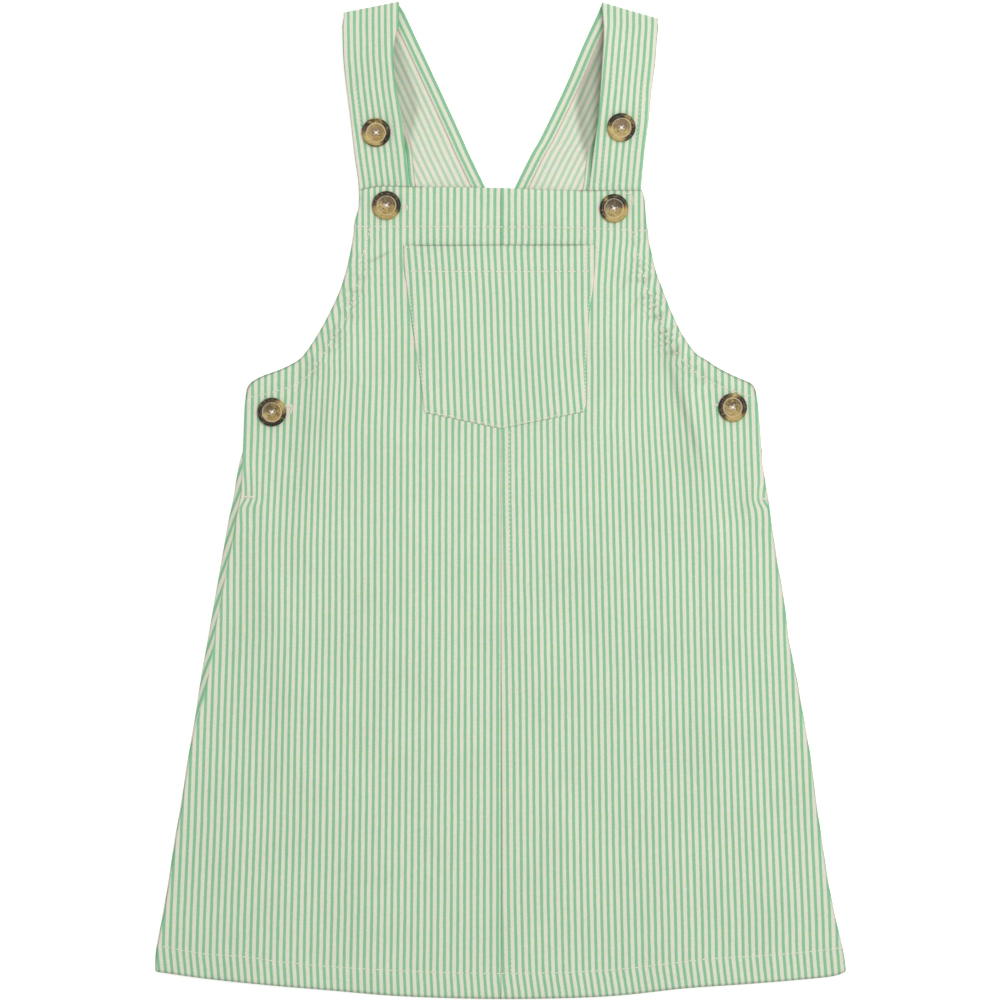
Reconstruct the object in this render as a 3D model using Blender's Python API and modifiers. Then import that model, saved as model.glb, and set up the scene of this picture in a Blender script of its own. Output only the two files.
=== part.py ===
"""A child's pinafore dress in striped denim, laid flat and face up.

Two front panels are joined down the centre, over a back panel whose sides roll round to the side
seams. Two straps rise from a V at the back, fold over the shoulders and end under the bib. A pointed
patch pocket lies on the front, and six four-hole buttons lie on the straps, bib and side openings.

Units are metres, +Z is up and +Y runs towards the shoulders. The origin lies on the surface under the
middle of the outline. The tables hold millimetres, as a cutter would chalk them on the cloth.
"""

import math
from collections import namedtuple

import bmesh
import bpy
import numpy as np
from mathutils import Matrix

MM = 0.001

# Cloth
CLOTH = 1.2  # wall of the denim, with its turnings
GAP = 0.3  # between pieces that are sewn together or lie on each other
SECOND_LAYER = CLOTH + GAP  # underside of what lies on the lowest layer
SECOND_TOP = SECOND_LAYER + CLOTH
CENTRE = 0.6  # the centre-front seam
CLEAR_OF_EDGE = 7.0  # cloth stays level this far past the edge of what it lies on
DRAPE = 14.0  # and comes down to the surface over this length

# Outline of the whole dress, seen from above
Edge = namedtuple("Edge", "y left right")
ARMHOLE = [
    Edge(191.0, -87.0, 87.6),
    Edge(170.0, -90.4, 90.7),
    Edge(150.4, -92.6, 93.8),
    Edge(130.7, -98.1, 99.9),
    Edge(111.0, -107.3, 107.9),
    Edge(101.2, -112.9, 112.9),
    Edge(91.3, -119.6, 120.2),
    Edge(85.8, -125.2, 128.5),
    Edge(80.9, -135.0, 135.0),
    Edge(76.0, -148.5, 145.4),
    Edge(71.0, -155.3, 156.2),
]
SIDE = [
    Edge(71.0, -155.3, 156.2),
    Edge(56.9, -157.1, 159.0),
    Edge(32.3, -159.0, 160.8),
    Edge(12.6, -162.7, 163.3),
    Edge(-12.0, -167.0, 167.0),
    Edge(-61.2, -175.6, 175.0),
    Edge(-110.4, -184.2, 183.0),
    Edge(-159.6, -192.2, 191.6),
    Edge(-208.8, -200.2, 198.3),
    Edge(-258.0, -208.2, 206.9),
    Edge(-276.4, -211.5, 211.3),
    Edge(-289.4, -212.2, 212.8),
]
Point = namedtuple("Point", "x y")
BIB_TOP = [
    Point(-87.0, 191.0),
    Point(-73.5, 193.8),
    Point(-8.9, 192.8),
    Point(10.1, 192.2),
    Point(37.2, 191.1),
    Point(65.5, 191.1),
    Point(87.6, 191.0),
]
HEM = [
    Point(-212.2, -289.4),
    Point(-184.2, -293.4),
    Point(-147.3, -297.4),
    Point(-104.9, -301.0),
    Point(-58.7, -304.7),
    Point(3.4, -306.3),
    Point(65.5, -304.7),
    Point(113.5, -299.8),
    Point(147.9, -297.4),
    Point(179.3, -294.9),
    Point(203.9, -292.4),
    Point(212.8, -289.4),
]

# Side openings and seams. The seam runs this far inside the outline, where the back rolls round to it.
SLIT_SHOWS = 26.8  # y where the back starts to show past the front's edge
SLIT_FOOT = 3.4  # y of the opening's foot, where the side seam starts
HEM_STARTS = -262.0  # y where the sides turn towards the hem
Seam = namedtuple("Seam", "y left right")
SEAM_INSET = [
    Seam(SLIT_SHOWS, 0.0, 0.0),
    Seam(11.2, 2.7, 2.3),
    Seam(SLIT_FOOT, 4.0, 2.3),
    Seam(-20.0, 4.2, 2.3),
    Seam(-100.0, 3.8, 2.3),
    Seam(-170.0, 2.3, 2.3),
    Seam(-310.0, 2.3, 2.3),
]

# Back panel, hidden under the front down to the side openings. Half is the half-width.
Half = namedtuple("Half", "y half")
BACK_ARMHOLE = [
    Half(166.7, 46.3),
    Half(146.7, 48.6),
    Half(125.8, 56.5),
    Half(104.9, 72.5),
    Half(87.6, 95.2),
    Half(74.1, 123.0),
    Half(66.5, 151.0),
]
UNDERLAP = [Half(66.5, 151.0), Half(48.0, 154.0)]
BACK_HEM_SHORT = 0.6  # the back's hem ends this far above the front's
HEM_RISE = 27.0  # over the last of its length
ROLL_RADIUS = SECOND_TOP / 2  # the back's sides roll round to the level of the front
ROLL_STEPS = 4
ROLL_STARTS = 19.0  # y where the free edge of the back starts to curl up towards its seam
LEAST_RETURN = 0.3  # the rolled edge runs at least this far in over the top
SEAM_GAP = 0.55  # the roll twists where it starts, so it stops this far from the front's edge

# Soft folds of the front panels: a ridge from its top to its foot, over the flat cloth
Fold = namedtuple("Fold", "x_top y_top x_foot y_foot height spread")
FOLDS = [
    Fold(-108.5, 86.4, -116.5, 4.6, 3.0, 10.0),
    Fold(-148.5, -12.0, -128.8, -122.7, 2.0, 14.0),
    Fold(-128.8, -122.7, -102.4, -180.0, 1.8, 14.0),
    Fold(-122.7, 0.3, -116.5, -91.9, 1.2, 12.0),
    Fold(92.6, 123.3, 112.9, 80.3, 2.6, 10.0),
    Fold(112.9, 80.3, 123.3, 18.8, 3.5, 10.0),
    Fold(123.3, 18.8, 136.8, -36.6, 3.0, 12.0),
    Fold(157.1, -30.4, 138.7, -91.9, 2.2, 14.0),
    Fold(138.7, -91.9, 126.4, -172.0, 2.5, 14.0),
    Fold(80.3, 104.9, 66.0, 78.0, 1.0, 8.0),
]

# Straps, a row for each section from the V at the back up to the shoulder, then down the front.
# Under is the height of the underside.
Section = namedtuple("Section", "outer_x outer_y inner_x inner_y under")
LOOP_HEIGHT = 4.0  # the shoulder fold stands this high
LOOP_STEPS = 6
STRAPS = {
    "strap_left": {
        "back": [
            Section(-46.3, 167.0, 0.4, 167.0, 0.0),
            Section(-48.0, 173.4, 0.4, 173.4, 0.0),
            Section(-55.4, 192.8, -8.7, 192.8, 0.0),
            Section(-57.5, 214.9, -19.4, 214.9, 0.0),
            Section(-59.7, 224.8, -24.1, 224.8, 0.0),
            Section(-74.7, 255.5, -38.4, 255.5, 0.0),
            Section(-87.0, 279.5, -50.1, 283.2, 0.0),
            Section(-93.5, 293.0, -57.5, 298.6, 0.0),
        ],
        "shoulder": Section(-96.6, 299.2, -62.1, 306.0, 0.0),
        "front": [
            Section(-96.9, 290.6, -64.0, 295.5, 2.7),
            Section(-96.9, 278.3, -65.8, 282.0, 2.4),
            Section(-95.6, 263.5, -65.5, 263.5, 2.1),
            Section(-93.5, 246.3, -63.0, 246.3, 1.9),
            Section(-91.3, 229.1, -60.0, 229.1, 1.6),
            Section(-90.1, 218.6, -58.4, 218.6, 1.5),
            Section(-88.6, 207.6, -57.5, 207.6, 0.6),
            Section(-87.2, 197.5, -56.3, 197.5, 0.0),
            Section(-86.4, 175.6, -54.4, 175.6, 0.0),
            Section(-86.1, 148.5, -54.4, 152.2, 0.0),
        ],
    },
    "strap_right": {
        "back": [
            Section(47.5, 167.0, 0.8, 167.0, 0.0),
            Section(49.2, 173.4, 0.8, 173.4, 0.0),
            Section(53.9, 192.8, 9.3, 192.8, 0.0),
            Section(57.0, 214.9, 19.4, 214.9, 0.0),
            Section(59.8, 224.8, 24.3, 224.8, 0.0),
            Section(76.0, 255.5, 40.3, 255.5, 0.0),
            Section(88.6, 278.3, 52.6, 283.2, 0.0),
            Section(94.1, 291.2, 59.7, 298.0, 0.0),
        ],
        "shoulder": Section(96.9, 297.7, 63.7, 306.0, 0.0),
        "front": [
            Section(96.9, 289.4, 63.7, 295.5, 2.7),
            Section(96.2, 277.1, 63.7, 282.0, 2.4),
            Section(94.4, 263.5, 62.7, 263.5, 2.1),
            Section(92.7, 246.3, 61.4, 246.3, 1.9),
            Section(90.7, 229.1, 59.8, 229.1, 1.6),
            Section(89.5, 218.6, 58.3, 218.6, 1.5),
            Section(88.1, 207.6, 56.5, 207.6, 0.6),
            Section(87.1, 197.5, 55.1, 197.5, 0.0),
            Section(86.4, 175.6, 53.8, 175.6, 0.0),
            Section(86.1, 149.1, 53.8, 152.2, 0.0),
        ],
    },
}

# Pocket: its sides from the top corners down, and its pointed foot
POCKET_SIDE = [
    Edge(157.5, -59.3, 58.4),
    Edge(141.1, -58.7, 57.8),
    Edge(128.8, -56.9, 56.8),
    Edge(105.2, -53.8, 54.4),
    Edge(86.4, -50.9, 53.2),
    Edge(68.6, -48.3, 53.5),
    Edge(54.6, -46.7, 51.7),
]
POCKET_POINT = Point(0.9, 44.3)

# Buttons: where each lies, how far its holes are turned, and the height of its underside
Button = namedtuple("Button", "name x y turn under")
ON_FRONT = SECOND_TOP + GAP
ON_STRAP = ON_FRONT + 0.2  # the strap rises a little towards the shoulder
BUTTONS = [
    Button("strap_button_left", -76.0, 226.6, 20.0, ON_STRAP),
    Button("strap_button_right", 74.4, 229.7, -15.0, ON_STRAP),
    Button("bib_button_left", -69.8, 181.7, 8.0, ON_FRONT),
    Button("bib_button_right", 70.1, 179.9, -30.0, ON_FRONT),
    Button("side_button_left", -140.2, 54.7, 35.0, ON_FRONT),
    Button("side_button_right", 143.0, 57.5, 12.0, ON_FRONT),
]
Turned = namedtuple("Turned", "radius height")
BUTTON_PROFILE = [
    Turned(0.0, 2.1),
    Turned(4.8, 2.1),
    Turned(6.2, 3.1),
    Turned(7.8, 3.0),
    Turned(8.9, 1.6),
    Turned(8.0, 0.3),
    Turned(0.0, 0.0),
]
BUTTON_SIDES = 20
HOLE_RADIUS = 0.85
HOLE_SIDES = 8
HOLE_SPREAD = (2.05, 1.7)  # half the distance between the holes, across and along

HOLE_PIN_LENGTH = 8.0
ON_AXIS = 0.00005  # in metres: points this near the button's axis are one point

# Curves through the tables are cut this finely before places are read off them
CURVE_STEPS = 16
HEM_STEPS = 200
SIDE_STEPS = 400

# Grids: how many cells each piece has
FRONT_COLUMNS = 12
FRONT_ARMHOLE_ROWS = 15
FRONT_OPENING_ROWS = 4
BACK_COLUMNS = 12
BACK_ARMHOLE_ROWS = 9
BACK_OPENING_ROWS = 3
SEAM_START_ROWS = 3  # from here down, the rows of front and back meet at the side seam
SIDE_ROWS = 17
HEM_ROWS = 3
POCKET_COLUMNS = 12
POCKET_ROWS = 10
STRAP_COLUMNS = 4
STRAP_BACK_ROWS = 11
STRAP_FRONT_ROWS = 14

DENIM = (0.50, 0.69, 0.50, 1.0)
HORN = (0.22, 0.13, 0.05, 1.0)
DENIM_ROUGHNESS = 0.9
HORN_ROUGHNESS = 0.25


def clear_scene():
    for item in list(bpy.data.objects):
        bpy.data.objects.remove(item)


def new_collection(name):
    collection = bpy.data.collections.new(name)
    bpy.context.scene.collection.children.link(collection)
    return collection


def finish(name, colour, roughness):
    """One material for a piece."""
    material = bpy.data.materials.new(name)
    material.use_nodes = True
    surface = material.node_tree.nodes["Principled BSDF"]
    surface.inputs["Base Color"].default_value = colour
    surface.inputs["Roughness"].default_value = roughness
    surface.inputs["Metallic"].default_value = 0.0
    material.diffuse_color = colour
    return material


def smooth_path(points, steps):
    """Evenly spaced places on a Catmull-Rom curve through the points, whatever their columns are."""
    points = np.array(points, float)
    before = 2 * points[0] - points[1]
    after = 2 * points[-1] - points[-2]
    knots = np.vstack([before, points, after])
    t = np.linspace(0, 1, CURVE_STEPS + 1)[:-1, None]
    dense = []
    for a, b, c, d in zip(knots, knots[1:], knots[2:], knots[3:]):
        bend = (2 * a - 5 * b + 4 * c - d) * t**2 + (3 * b - a - 3 * c + d) * t**3
        dense.append((2 * b + (c - a) * t + bend) / 2)
    dense = np.vstack([*dense, points[-1:]])
    length = np.r_[0, np.cumsum(np.linalg.norm(np.diff(dense, axis=0), axis=1))]
    even = np.linspace(0, length[-1], steps + 1)
    return np.column_stack([np.interp(even, length, column) for column in dense.T])


def edge_path(table, side, steps):
    """The (x, y) places of one side of an outline table, from its first row to its last."""
    return smooth_path([(getattr(row, side), row.y) for row in table], steps)


def curve_between(table, start, end, steps):
    """A stretch of a top or hem line, from one x to another."""
    line = smooth_path([(point.x, point.y) for point in table], HEM_STEPS)
    x = np.linspace(start, end, steps + 1)
    return np.column_stack([x, np.interp(x, line[:, 0], line[:, 1])])


def ease(t):
    t = np.clip(t, 0, 1)
    return t * t * (3 - 2 * t)


def patch(foot, top, left, right):
    """A sheet stretched between four edges that meet at its corners, as rows from the foot up."""
    u = np.linspace(0, 1, len(foot))[None, :, None]
    v = np.linspace(0, 1, len(left))[:, None, None]
    across = (1 - u) * left[:, None] + u * right[:, None]
    along = (1 - v) * foot[None] + v * top[None]
    low = (1 - u) * foot[0] + u * foot[-1]
    high = (1 - u) * top[0] + u * top[-1]
    return across + along - (1 - v) * low - v * high


def seam_inset(y, side):
    rows = SEAM_INSET[::-1]
    return np.interp(y, [row.y for row in rows], [getattr(row, side) for row in rows])


def side_runs(opening_rows):
    """How the side is cut into rows: the opening, its foot, the seam and the hem's flare."""
    return [
        (SLIT_SHOWS, opening_rows),
        (SLIT_FOOT, SEAM_START_ROWS),
        (HEM_STARTS, SIDE_ROWS),
        (SIDE[-1].y, HEM_ROWS),
    ]


def split_side(side, runs):
    """The side's outline from the armhole's corner down to the hem, in runs of (last y, rows) each."""
    line = edge_path(SIDE, side, SIDE_STEPS)
    start = SIDE[0].y
    places = []
    for end, rows in runs:
        y = np.linspace(start, end, rows + 1)[1:]
        places.append(np.column_stack([np.interp(-y, -line[:, 1], line[:, 0]), y]))
        start = end
    return np.vstack(places)


def away_from(x, y, outline):
    """How far each place lies outside a closed outline, and 0 within it."""
    start = np.array(outline)
    end = np.roll(start, -1, axis=0)
    place = np.stack([x, y], axis=-1)[..., None, :]
    run = end - start
    share = np.clip(((place - start) * run).sum(-1) / (run**2).sum(-1), 0, 1)
    distance = np.linalg.norm(place - start - share[..., None] * run, axis=-1).min(-1)
    crosses = (start[:, 1] > y[..., None]) != (end[:, 1] > y[..., None])
    rise = np.where(run[:, 1] == 0, 1.0, run[:, 1])
    crossing_x = start[:, 0] + (y[..., None] - start[:, 1]) * run[:, 0] / rise
    inside = (crosses & (x[..., None] < crossing_x)).sum(-1) % 2 == 1
    return np.where(inside, 0.0, distance)


def lowest_layer():
    """Outlines of the pieces that lie on the surface: the back, and both halves of each strap."""
    left = [(-row.half, row.y) for row in BACK_ARMHOLE + UNDERLAP[1:]]
    left += [(row.left, row.y) for row in SIDE if row.y < SLIT_SHOWS]
    right = [(row.half, row.y) for row in BACK_ARMHOLE + UNDERLAP[1:]]
    right += [(row.right, row.y) for row in SIDE if row.y < SLIT_SHOWS]
    outlines = [left + HEM[1:-1] + right[::-1]]
    for strap in STRAPS.values():
        flat_front = [row for row in strap["front"] if row.under == 0]
        for rows in (strap["back"], flat_front):
            outer = [(row.outer_x, row.outer_y) for row in rows]
            inner = [(row.inner_x, row.inner_y) for row in rows]
            outlines.append(outer + inner[::-1])
    return outlines


def front_height(x, y):
    """Height of the front's underside: level on what lies below, down to the surface past it, and folded."""
    level = np.zeros_like(x)
    for outline in lowest_layer():
        away = away_from(x, y, outline)
        level = np.maximum(level, ease((CLEAR_OF_EDGE + DRAPE - away) / DRAPE))
    ridge = np.zeros_like(x)
    for fold in FOLDS:
        run = np.array([fold.x_foot - fold.x_top, fold.y_foot - fold.y_top])
        share = ((x - fold.x_top) * run[0] + (y - fold.y_top) * run[1]) / (run @ run)
        share = np.clip(share, 0, 1)
        distance = np.hypot(x - fold.x_top - share * run[0], y - fold.y_top - share * run[1])
        ridge = np.maximum(ridge, fold.height * np.exp(-((distance / fold.spread) ** 2)))
    return level * SECOND_LAYER + ridge


def add_cloth(name, rows, collection, parent):
    """A cloth piece with a wall: a grid shaped to rows of places, foot first, that grows from one face."""
    rows = np.array(rows)
    columns_last = rows.shape[1] - 1
    rows_last = rows.shape[0] - 1
    grid = bmesh.new()
    bmesh.ops.create_grid(grid, x_segments=columns_last, y_segments=rows_last, size=1)
    for vertex in grid.verts:
        column = round((vertex.co.x + 1) / 2 * columns_last)
        row = round((vertex.co.y + 1) / 2 * rows_last)
        vertex.co = rows[row, column] * MM
    mesh = bpy.data.meshes.new(name)
    grid.to_mesh(mesh)
    grid.free()
    mesh.shade_smooth()
    mesh.materials.append(finish(name, DENIM, DENIM_ROUGHNESS))
    piece = bpy.data.objects.new(name, mesh)
    piece.parent = parent
    collection.objects.link(piece)
    wall = piece.modifiers.new("wall", "SOLIDIFY")
    wall.thickness = CLOTH * MM
    wall.offset = 1
    wall.use_even_offset = True
    wall.use_quality_normals = True
    return piece


def front_panel(side):
    """Places of one front panel's underside."""
    outer = edge_path(ARMHOLE, side, FRONT_ARMHOLE_ROWS)
    runs = side_runs(FRONT_OPENING_ROWS)
    outer = np.vstack([outer, split_side(side, runs)])[::-1]
    inwards = 1 if side == "left" else -1
    outer[:, 0] += inwards * np.where(outer[:, 1] < SLIT_SHOWS, seam_inset(outer[:, 1], side), 0)
    seam_x = CENTRE - inwards * GAP / 2
    foot = curve_between(HEM, outer[0, 0], seam_x, FRONT_COLUMNS)
    top = curve_between(BIB_TOP, outer[-1, 0], seam_x, FRONT_COLUMNS)
    foot[0] = outer[0]
    top[0] = outer[-1]
    below = np.linspace(foot[-1, 1], SIDE[0].y, len(outer) - FRONT_ARMHOLE_ROWS)
    above = np.linspace(SIDE[0].y, top[-1, 1], FRONT_ARMHOLE_ROWS + 1)[1:]
    seam_y = np.r_[below, above]
    seam = np.column_stack([np.full(len(seam_y), seam_x), seam_y])
    if side == "left":
        flat = patch(foot, top, outer, seam)
    else:
        flat = patch(foot[::-1], top[::-1], seam, outer)
    height = front_height(flat[..., 0], flat[..., 1])
    return np.dstack([flat, height])


def back_edge(side):
    """The back's outer edge, from its hem up to its top edge."""
    sign = -1 if side == "left" else 1
    hidden = smooth_path([(sign * row.half, row.y) for row in BACK_ARMHOLE], BACK_ARMHOLE_ROWS)
    show_x = split_side(side, [(SLIT_SHOWS, 1)])[-1, 0]
    underlap = [(sign * row.half, row.y) for row in UNDERLAP] + [(show_x, SLIT_SHOWS)]
    underlap = smooth_path(underlap, BACK_OPENING_ROWS)[1:]
    seamed = split_side(side, side_runs(1))[1:]
    return np.vstack([hidden, underlap, seamed])[::-1]


def turned_edge(sweep, last):
    """Across an edge that curls up by an angle: how far in from the outline and how high each place is."""
    flat = (math.pi - sweep) * ROLL_RADIUS
    out = []
    up = []
    for step in range(ROLL_STEPS + 1):
        length = math.pi * ROLL_RADIUS * step / ROLL_STEPS
        angle = max(0.0, (length - flat) / ROLL_RADIUS)
        out.append(min(length, flat) + ROLL_RADIUS * math.sin(angle))
        up.append(ROLL_RADIUS * (1 - math.cos(angle)))
    out.append(out[-1] + last * math.cos(sweep))
    up.append(up[-1] + last * math.sin(sweep))
    return max(out) - np.array(out), np.array(up)


def back_turning(edge, side):
    """The columns of the turned edge: rolled up and over to the seam, or flat above it."""
    inwards = 1 if side == "left" else -1
    rows = []
    for x, y in edge:
        rolled = ease((ROLL_STARTS - y) / (ROLL_STARTS - SLIT_FOOT))
        past_roll = max(seam_inset(y, side) - SEAM_GAP - ROLL_RADIUS, LEAST_RETURN)
        inset, height = turned_edge(math.pi * rolled, past_roll)
        rows.append(np.column_stack([x + inwards * inset, np.full(len(inset), y), height]))
    return np.array(rows)


def back_panel():
    """Places of the back's outer face: along the surface, with each side turned round to its seam."""
    turnings = {}
    for side in ("left", "right"):
        turnings[side] = back_turning(back_edge(side), side)
    left = turnings["left"][:, 0, :2]
    right = turnings["right"][:, 0, :2]
    foot = curve_between(HEM, left[0, 0], right[0, 0], BACK_COLUMNS)
    top = np.linspace(left[-1], right[-1], BACK_COLUMNS + 1)
    flat = patch(foot, top, np.vstack([foot[:1], left[1:]]), np.vstack([foot[-1:], right[1:]]))
    flat = np.dstack([flat, np.zeros(flat.shape[:2])])
    rows = np.concatenate([turnings["left"][:, :0:-1], flat, turnings["right"][:, 1:]], axis=1)
    rows[..., 1] += BACK_HEM_SHORT * ease((HEM_STARTS - rows[..., 1]) / HEM_RISE)
    return rows


def strap(table):
    """Places of a strap's outer face: up the back, round the shoulder fold and down the front."""
    back = smooth_path(table["back"], STRAP_BACK_ROWS)
    front = smooth_path([row[:4] for row in table["front"]], STRAP_FRONT_ROWS)
    rows_y = [row.outer_y for row in table["front"]][::-1]
    under = np.interp(front[:, 1], rows_y, [row.under for row in table["front"]][::-1])
    shoulder = np.array(table["shoulder"][:4])
    along = shoulder[2:] - shoulder[:2]
    outwards = np.array([-along[1], along[0]]) / np.hypot(*along)
    outwards *= np.sign(outwards[1])
    radius = LOOP_HEIGHT / 2
    sections = [(*row[:4], 0.0) for row in back]
    for step in range(LOOP_STEPS + 1):
        angle = math.pi * (step / LOOP_STEPS - 0.5)
        inset = outwards * radius * (math.cos(angle) - 1)
        places = shoulder + np.tile(inset, 2)
        sections.append((*places, radius * (1 + math.sin(angle))))
    sections += [(*row, rest + CLOTH) for row, rest in zip(front, under)]
    share = np.linspace(0, 1, STRAP_COLUMNS + 1)[:, None]
    rows = []
    for outer_x, outer_y, inner_x, inner_y, height in sections:
        outer = np.array([outer_x, outer_y, height])
        inner = np.array([inner_x, inner_y, height])
        first, last = (outer, inner) if outer_x < inner_x else (inner, outer)
        rows.append(first + share * (last - first))
    return rows


def pocket():
    """Places of the pocket's underside, made from the front's height and moved out."""
    left = edge_path(POCKET_SIDE, "left", POCKET_ROWS)[::-1]
    right = edge_path(POCKET_SIDE, "right", POCKET_ROWS)[::-1]
    half = POCKET_COLUMNS // 2
    point = np.array(POCKET_POINT)
    foot = np.vstack([np.linspace(left[0], point, half + 1), np.linspace(point, right[0], half + 1)[1:]])
    top = np.linspace(left[-1], right[-1], POCKET_COLUMNS + 1)
    flat = patch(foot, top, left, right)
    height = front_height(flat[..., 0], flat[..., 1]) + CLOTH + GAP
    return np.dstack([flat, height])


def button_mesh():
    """Half of a turned section, from the top's middle out and down to the underside's middle."""
    outline = bmesh.new()
    places = [outline.verts.new((row.radius * MM, 0, row.height * MM)) for row in BUTTON_PROFILE]
    for upper, lower in zip(places, places[1:]):
        outline.edges.new((upper, lower))
    mesh = bpy.data.meshes.new("button")
    outline.to_mesh(mesh)
    outline.free()
    return mesh


def hole_cutter_mesh():
    """Four pins that cut the button's holes."""
    pins = bmesh.new()
    across, along = HOLE_SPREAD
    for x in (-across, across):
        for y in (-along, along):
            bmesh.ops.create_cone(
                pins,
                cap_ends=True,
                segments=HOLE_SIDES,
                radius1=HOLE_RADIUS * MM,
                radius2=HOLE_RADIUS * MM,
                depth=HOLE_PIN_LENGTH * MM,
                matrix=Matrix.Translation((x * MM, y * MM, 0)),
            )
    mesh = bpy.data.meshes.new("button_holes")
    pins.to_mesh(mesh)
    pins.free()
    return mesh


def add_button(row, meshes, collection, cutters, parent):
    """A turned four-hole button, lying on the cloth."""
    button = bpy.data.objects.new(row.name, meshes["button"].copy())
    button.location = (row.x * MM, row.y * MM, row.under * MM)
    button.rotation_euler = (0, 0, math.radians(row.turn))
    button.parent = parent
    button.data.materials.append(finish(row.name, HORN, HORN_ROUGHNESS))
    collection.objects.link(button)
    pins = bpy.data.objects.new(row.name + "_holes", meshes["holes"])
    pins.parent = button
    pins.hide_render = True
    pins.display_type = "WIRE"
    cutters.objects.link(pins)
    turn = button.modifiers.new("turn", "SCREW")
    turn.steps = BUTTON_SIDES
    turn.render_steps = BUTTON_SIDES
    turn.use_merge_vertices = True
    turn.merge_threshold = ON_AXIS
    turn.use_smooth_shade = True
    holes = button.modifiers.new("holes", "BOOLEAN")
    holes.operation = "DIFFERENCE"
    holes.solver = "EXACT"
    holes.object = pins


def main():
    clear_scene()
    dress_collection = new_collection("denim pinafore dress")
    cutters = new_collection("cutters")
    dress = bpy.data.objects.new("dress", None)
    dress_collection.objects.link(dress)
    add_cloth("back", back_panel(), dress_collection, dress)
    for name, table in STRAPS.items():
        add_cloth(name, strap(table), dress_collection, dress)
    add_cloth("front_left", front_panel("left"), dress_collection, dress)
    add_cloth("front_right", front_panel("right"), dress_collection, dress)
    add_cloth("pocket", pocket(), dress_collection, dress)
    meshes = {"button": button_mesh(), "holes": hole_cutter_mesh()}
    for row in BUTTONS:
        add_button(row, meshes, dress_collection, cutters, dress)


main()
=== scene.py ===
"""A child's pinafore dress in green-and-cream striped denim, laid flat and face up on a pale surface.

It is put together as the real one is: back panel, shoulder straps, the two front panels, patch pocket,
then topstitching, buttonholes and bar tacks, and last the buttons. Tables are in millimetres.
"""

import math

import bmesh
import bpy
import numpy as np
from mathutils import Matrix, Vector
from mathutils.bvhtree import BVHTree


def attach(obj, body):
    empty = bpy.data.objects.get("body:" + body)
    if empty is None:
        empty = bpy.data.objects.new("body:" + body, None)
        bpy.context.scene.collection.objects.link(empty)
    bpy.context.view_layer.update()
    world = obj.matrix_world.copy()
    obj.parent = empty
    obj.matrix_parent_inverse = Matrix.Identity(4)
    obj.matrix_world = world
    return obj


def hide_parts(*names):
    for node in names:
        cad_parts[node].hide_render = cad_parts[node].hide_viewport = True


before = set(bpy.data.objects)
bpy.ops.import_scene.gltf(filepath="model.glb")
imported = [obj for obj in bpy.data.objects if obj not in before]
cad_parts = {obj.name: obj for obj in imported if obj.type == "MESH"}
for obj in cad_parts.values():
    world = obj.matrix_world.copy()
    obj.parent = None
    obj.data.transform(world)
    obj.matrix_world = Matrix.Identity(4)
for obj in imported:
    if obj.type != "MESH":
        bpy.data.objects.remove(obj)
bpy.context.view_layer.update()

# ---- Studio -------------------------------------------------------------------------------------
# The dress lies on a lit white table, photographed from straight above with a long lens. The light
# is soft all round, with one large lamp above the top right corner, so the hem is a little darker.
MM = 0.001
LENS_MM = 300
SENSOR_MM = 36
FIELD_WIDTH_MM = 615
FIELD_LEVEL_MM = 3  # the field is this wide at this height
FIELD_MIDDLE_MM = 0.6  # how far up the dress the picture's middle is
TABLE_SIDE_MM = 30000
TABLE_DROP_MM = 0.3  # the table lies this far under the cloth
TABLE_WHITE = 0.90
TABLE_GLOW = 0.42
SKY_STRENGTH = 0.66
LAMP_WATTS = 15.9
LAMP_SIDE_M = 0.9
LAMP_PLACE_M = (0.44, 0.38, 1.5)
WHITE = (1, 1, 1, 1)


def as_mesh(name, shape):
    """The mesh of a bmesh, which is then set free."""
    mesh = bpy.data.meshes.new(name)
    shape.to_mesh(mesh)
    shape.free()
    return mesh


def placed(name, data):
    """A new object in the scene, at the origin."""
    thing = bpy.data.objects.new(name, data)
    bpy.context.scene.collection.objects.link(thing)
    return thing


def painted(name):
    """A new material, and its surface."""
    material = bpy.data.materials.new(name)
    material.use_nodes = True
    return material, material.node_tree.nodes["Principled BSDF"]


table = bmesh.new()
bmesh.ops.create_grid(table, x_segments=1, y_segments=1, size=TABLE_SIDE_MM / 2 * MM)
bmesh.ops.translate(table, verts=table.verts, vec=(0, 0, -TABLE_DROP_MM * MM))
white_table = placed("table", as_mesh("table", table))
table_paint, table_surface = painted("white_table")
table_surface.inputs["Base Color"].default_value = (TABLE_WHITE, TABLE_WHITE, TABLE_WHITE, 1)
table_surface.inputs["Emission Color"].default_value = WHITE
table_surface.inputs["Emission Strength"].default_value = TABLE_GLOW
table_surface.inputs["Roughness"].default_value = 0.9
table_surface.inputs["Specular IOR Level"].default_value = 0.1
white_table.data.materials.append(table_paint)

camera = bpy.data.cameras.new("camera")
camera.lens = LENS_MM
camera.sensor_width = SENSOR_MM
camera_above = placed("camera", camera)
camera_height_mm = FIELD_WIDTH_MM * LENS_MM / SENSOR_MM + FIELD_LEVEL_MM
camera_above.location = (0, FIELD_MIDDLE_MM * MM, camera_height_mm * MM)
bpy.context.scene.camera = camera_above

sky = bpy.data.worlds.new("studio")
sky.use_nodes = True
sky.node_tree.nodes["Background"].inputs["Color"].default_value = WHITE
sky.node_tree.nodes["Background"].inputs["Strength"].default_value = SKY_STRENGTH
bpy.context.scene.world = sky
lamp = bpy.data.lights.new("softbox", "AREA")
lamp.energy = LAMP_WATTS
lamp.size = LAMP_SIDE_M
softbox = placed("softbox", lamp)
softbox.location = LAMP_PLACE_M
softbox.rotation_euler = softbox.location.to_track_quat("Z", "Y").to_euler()
bpy.context.scene.view_settings.view_transform = "Standard"

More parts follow.
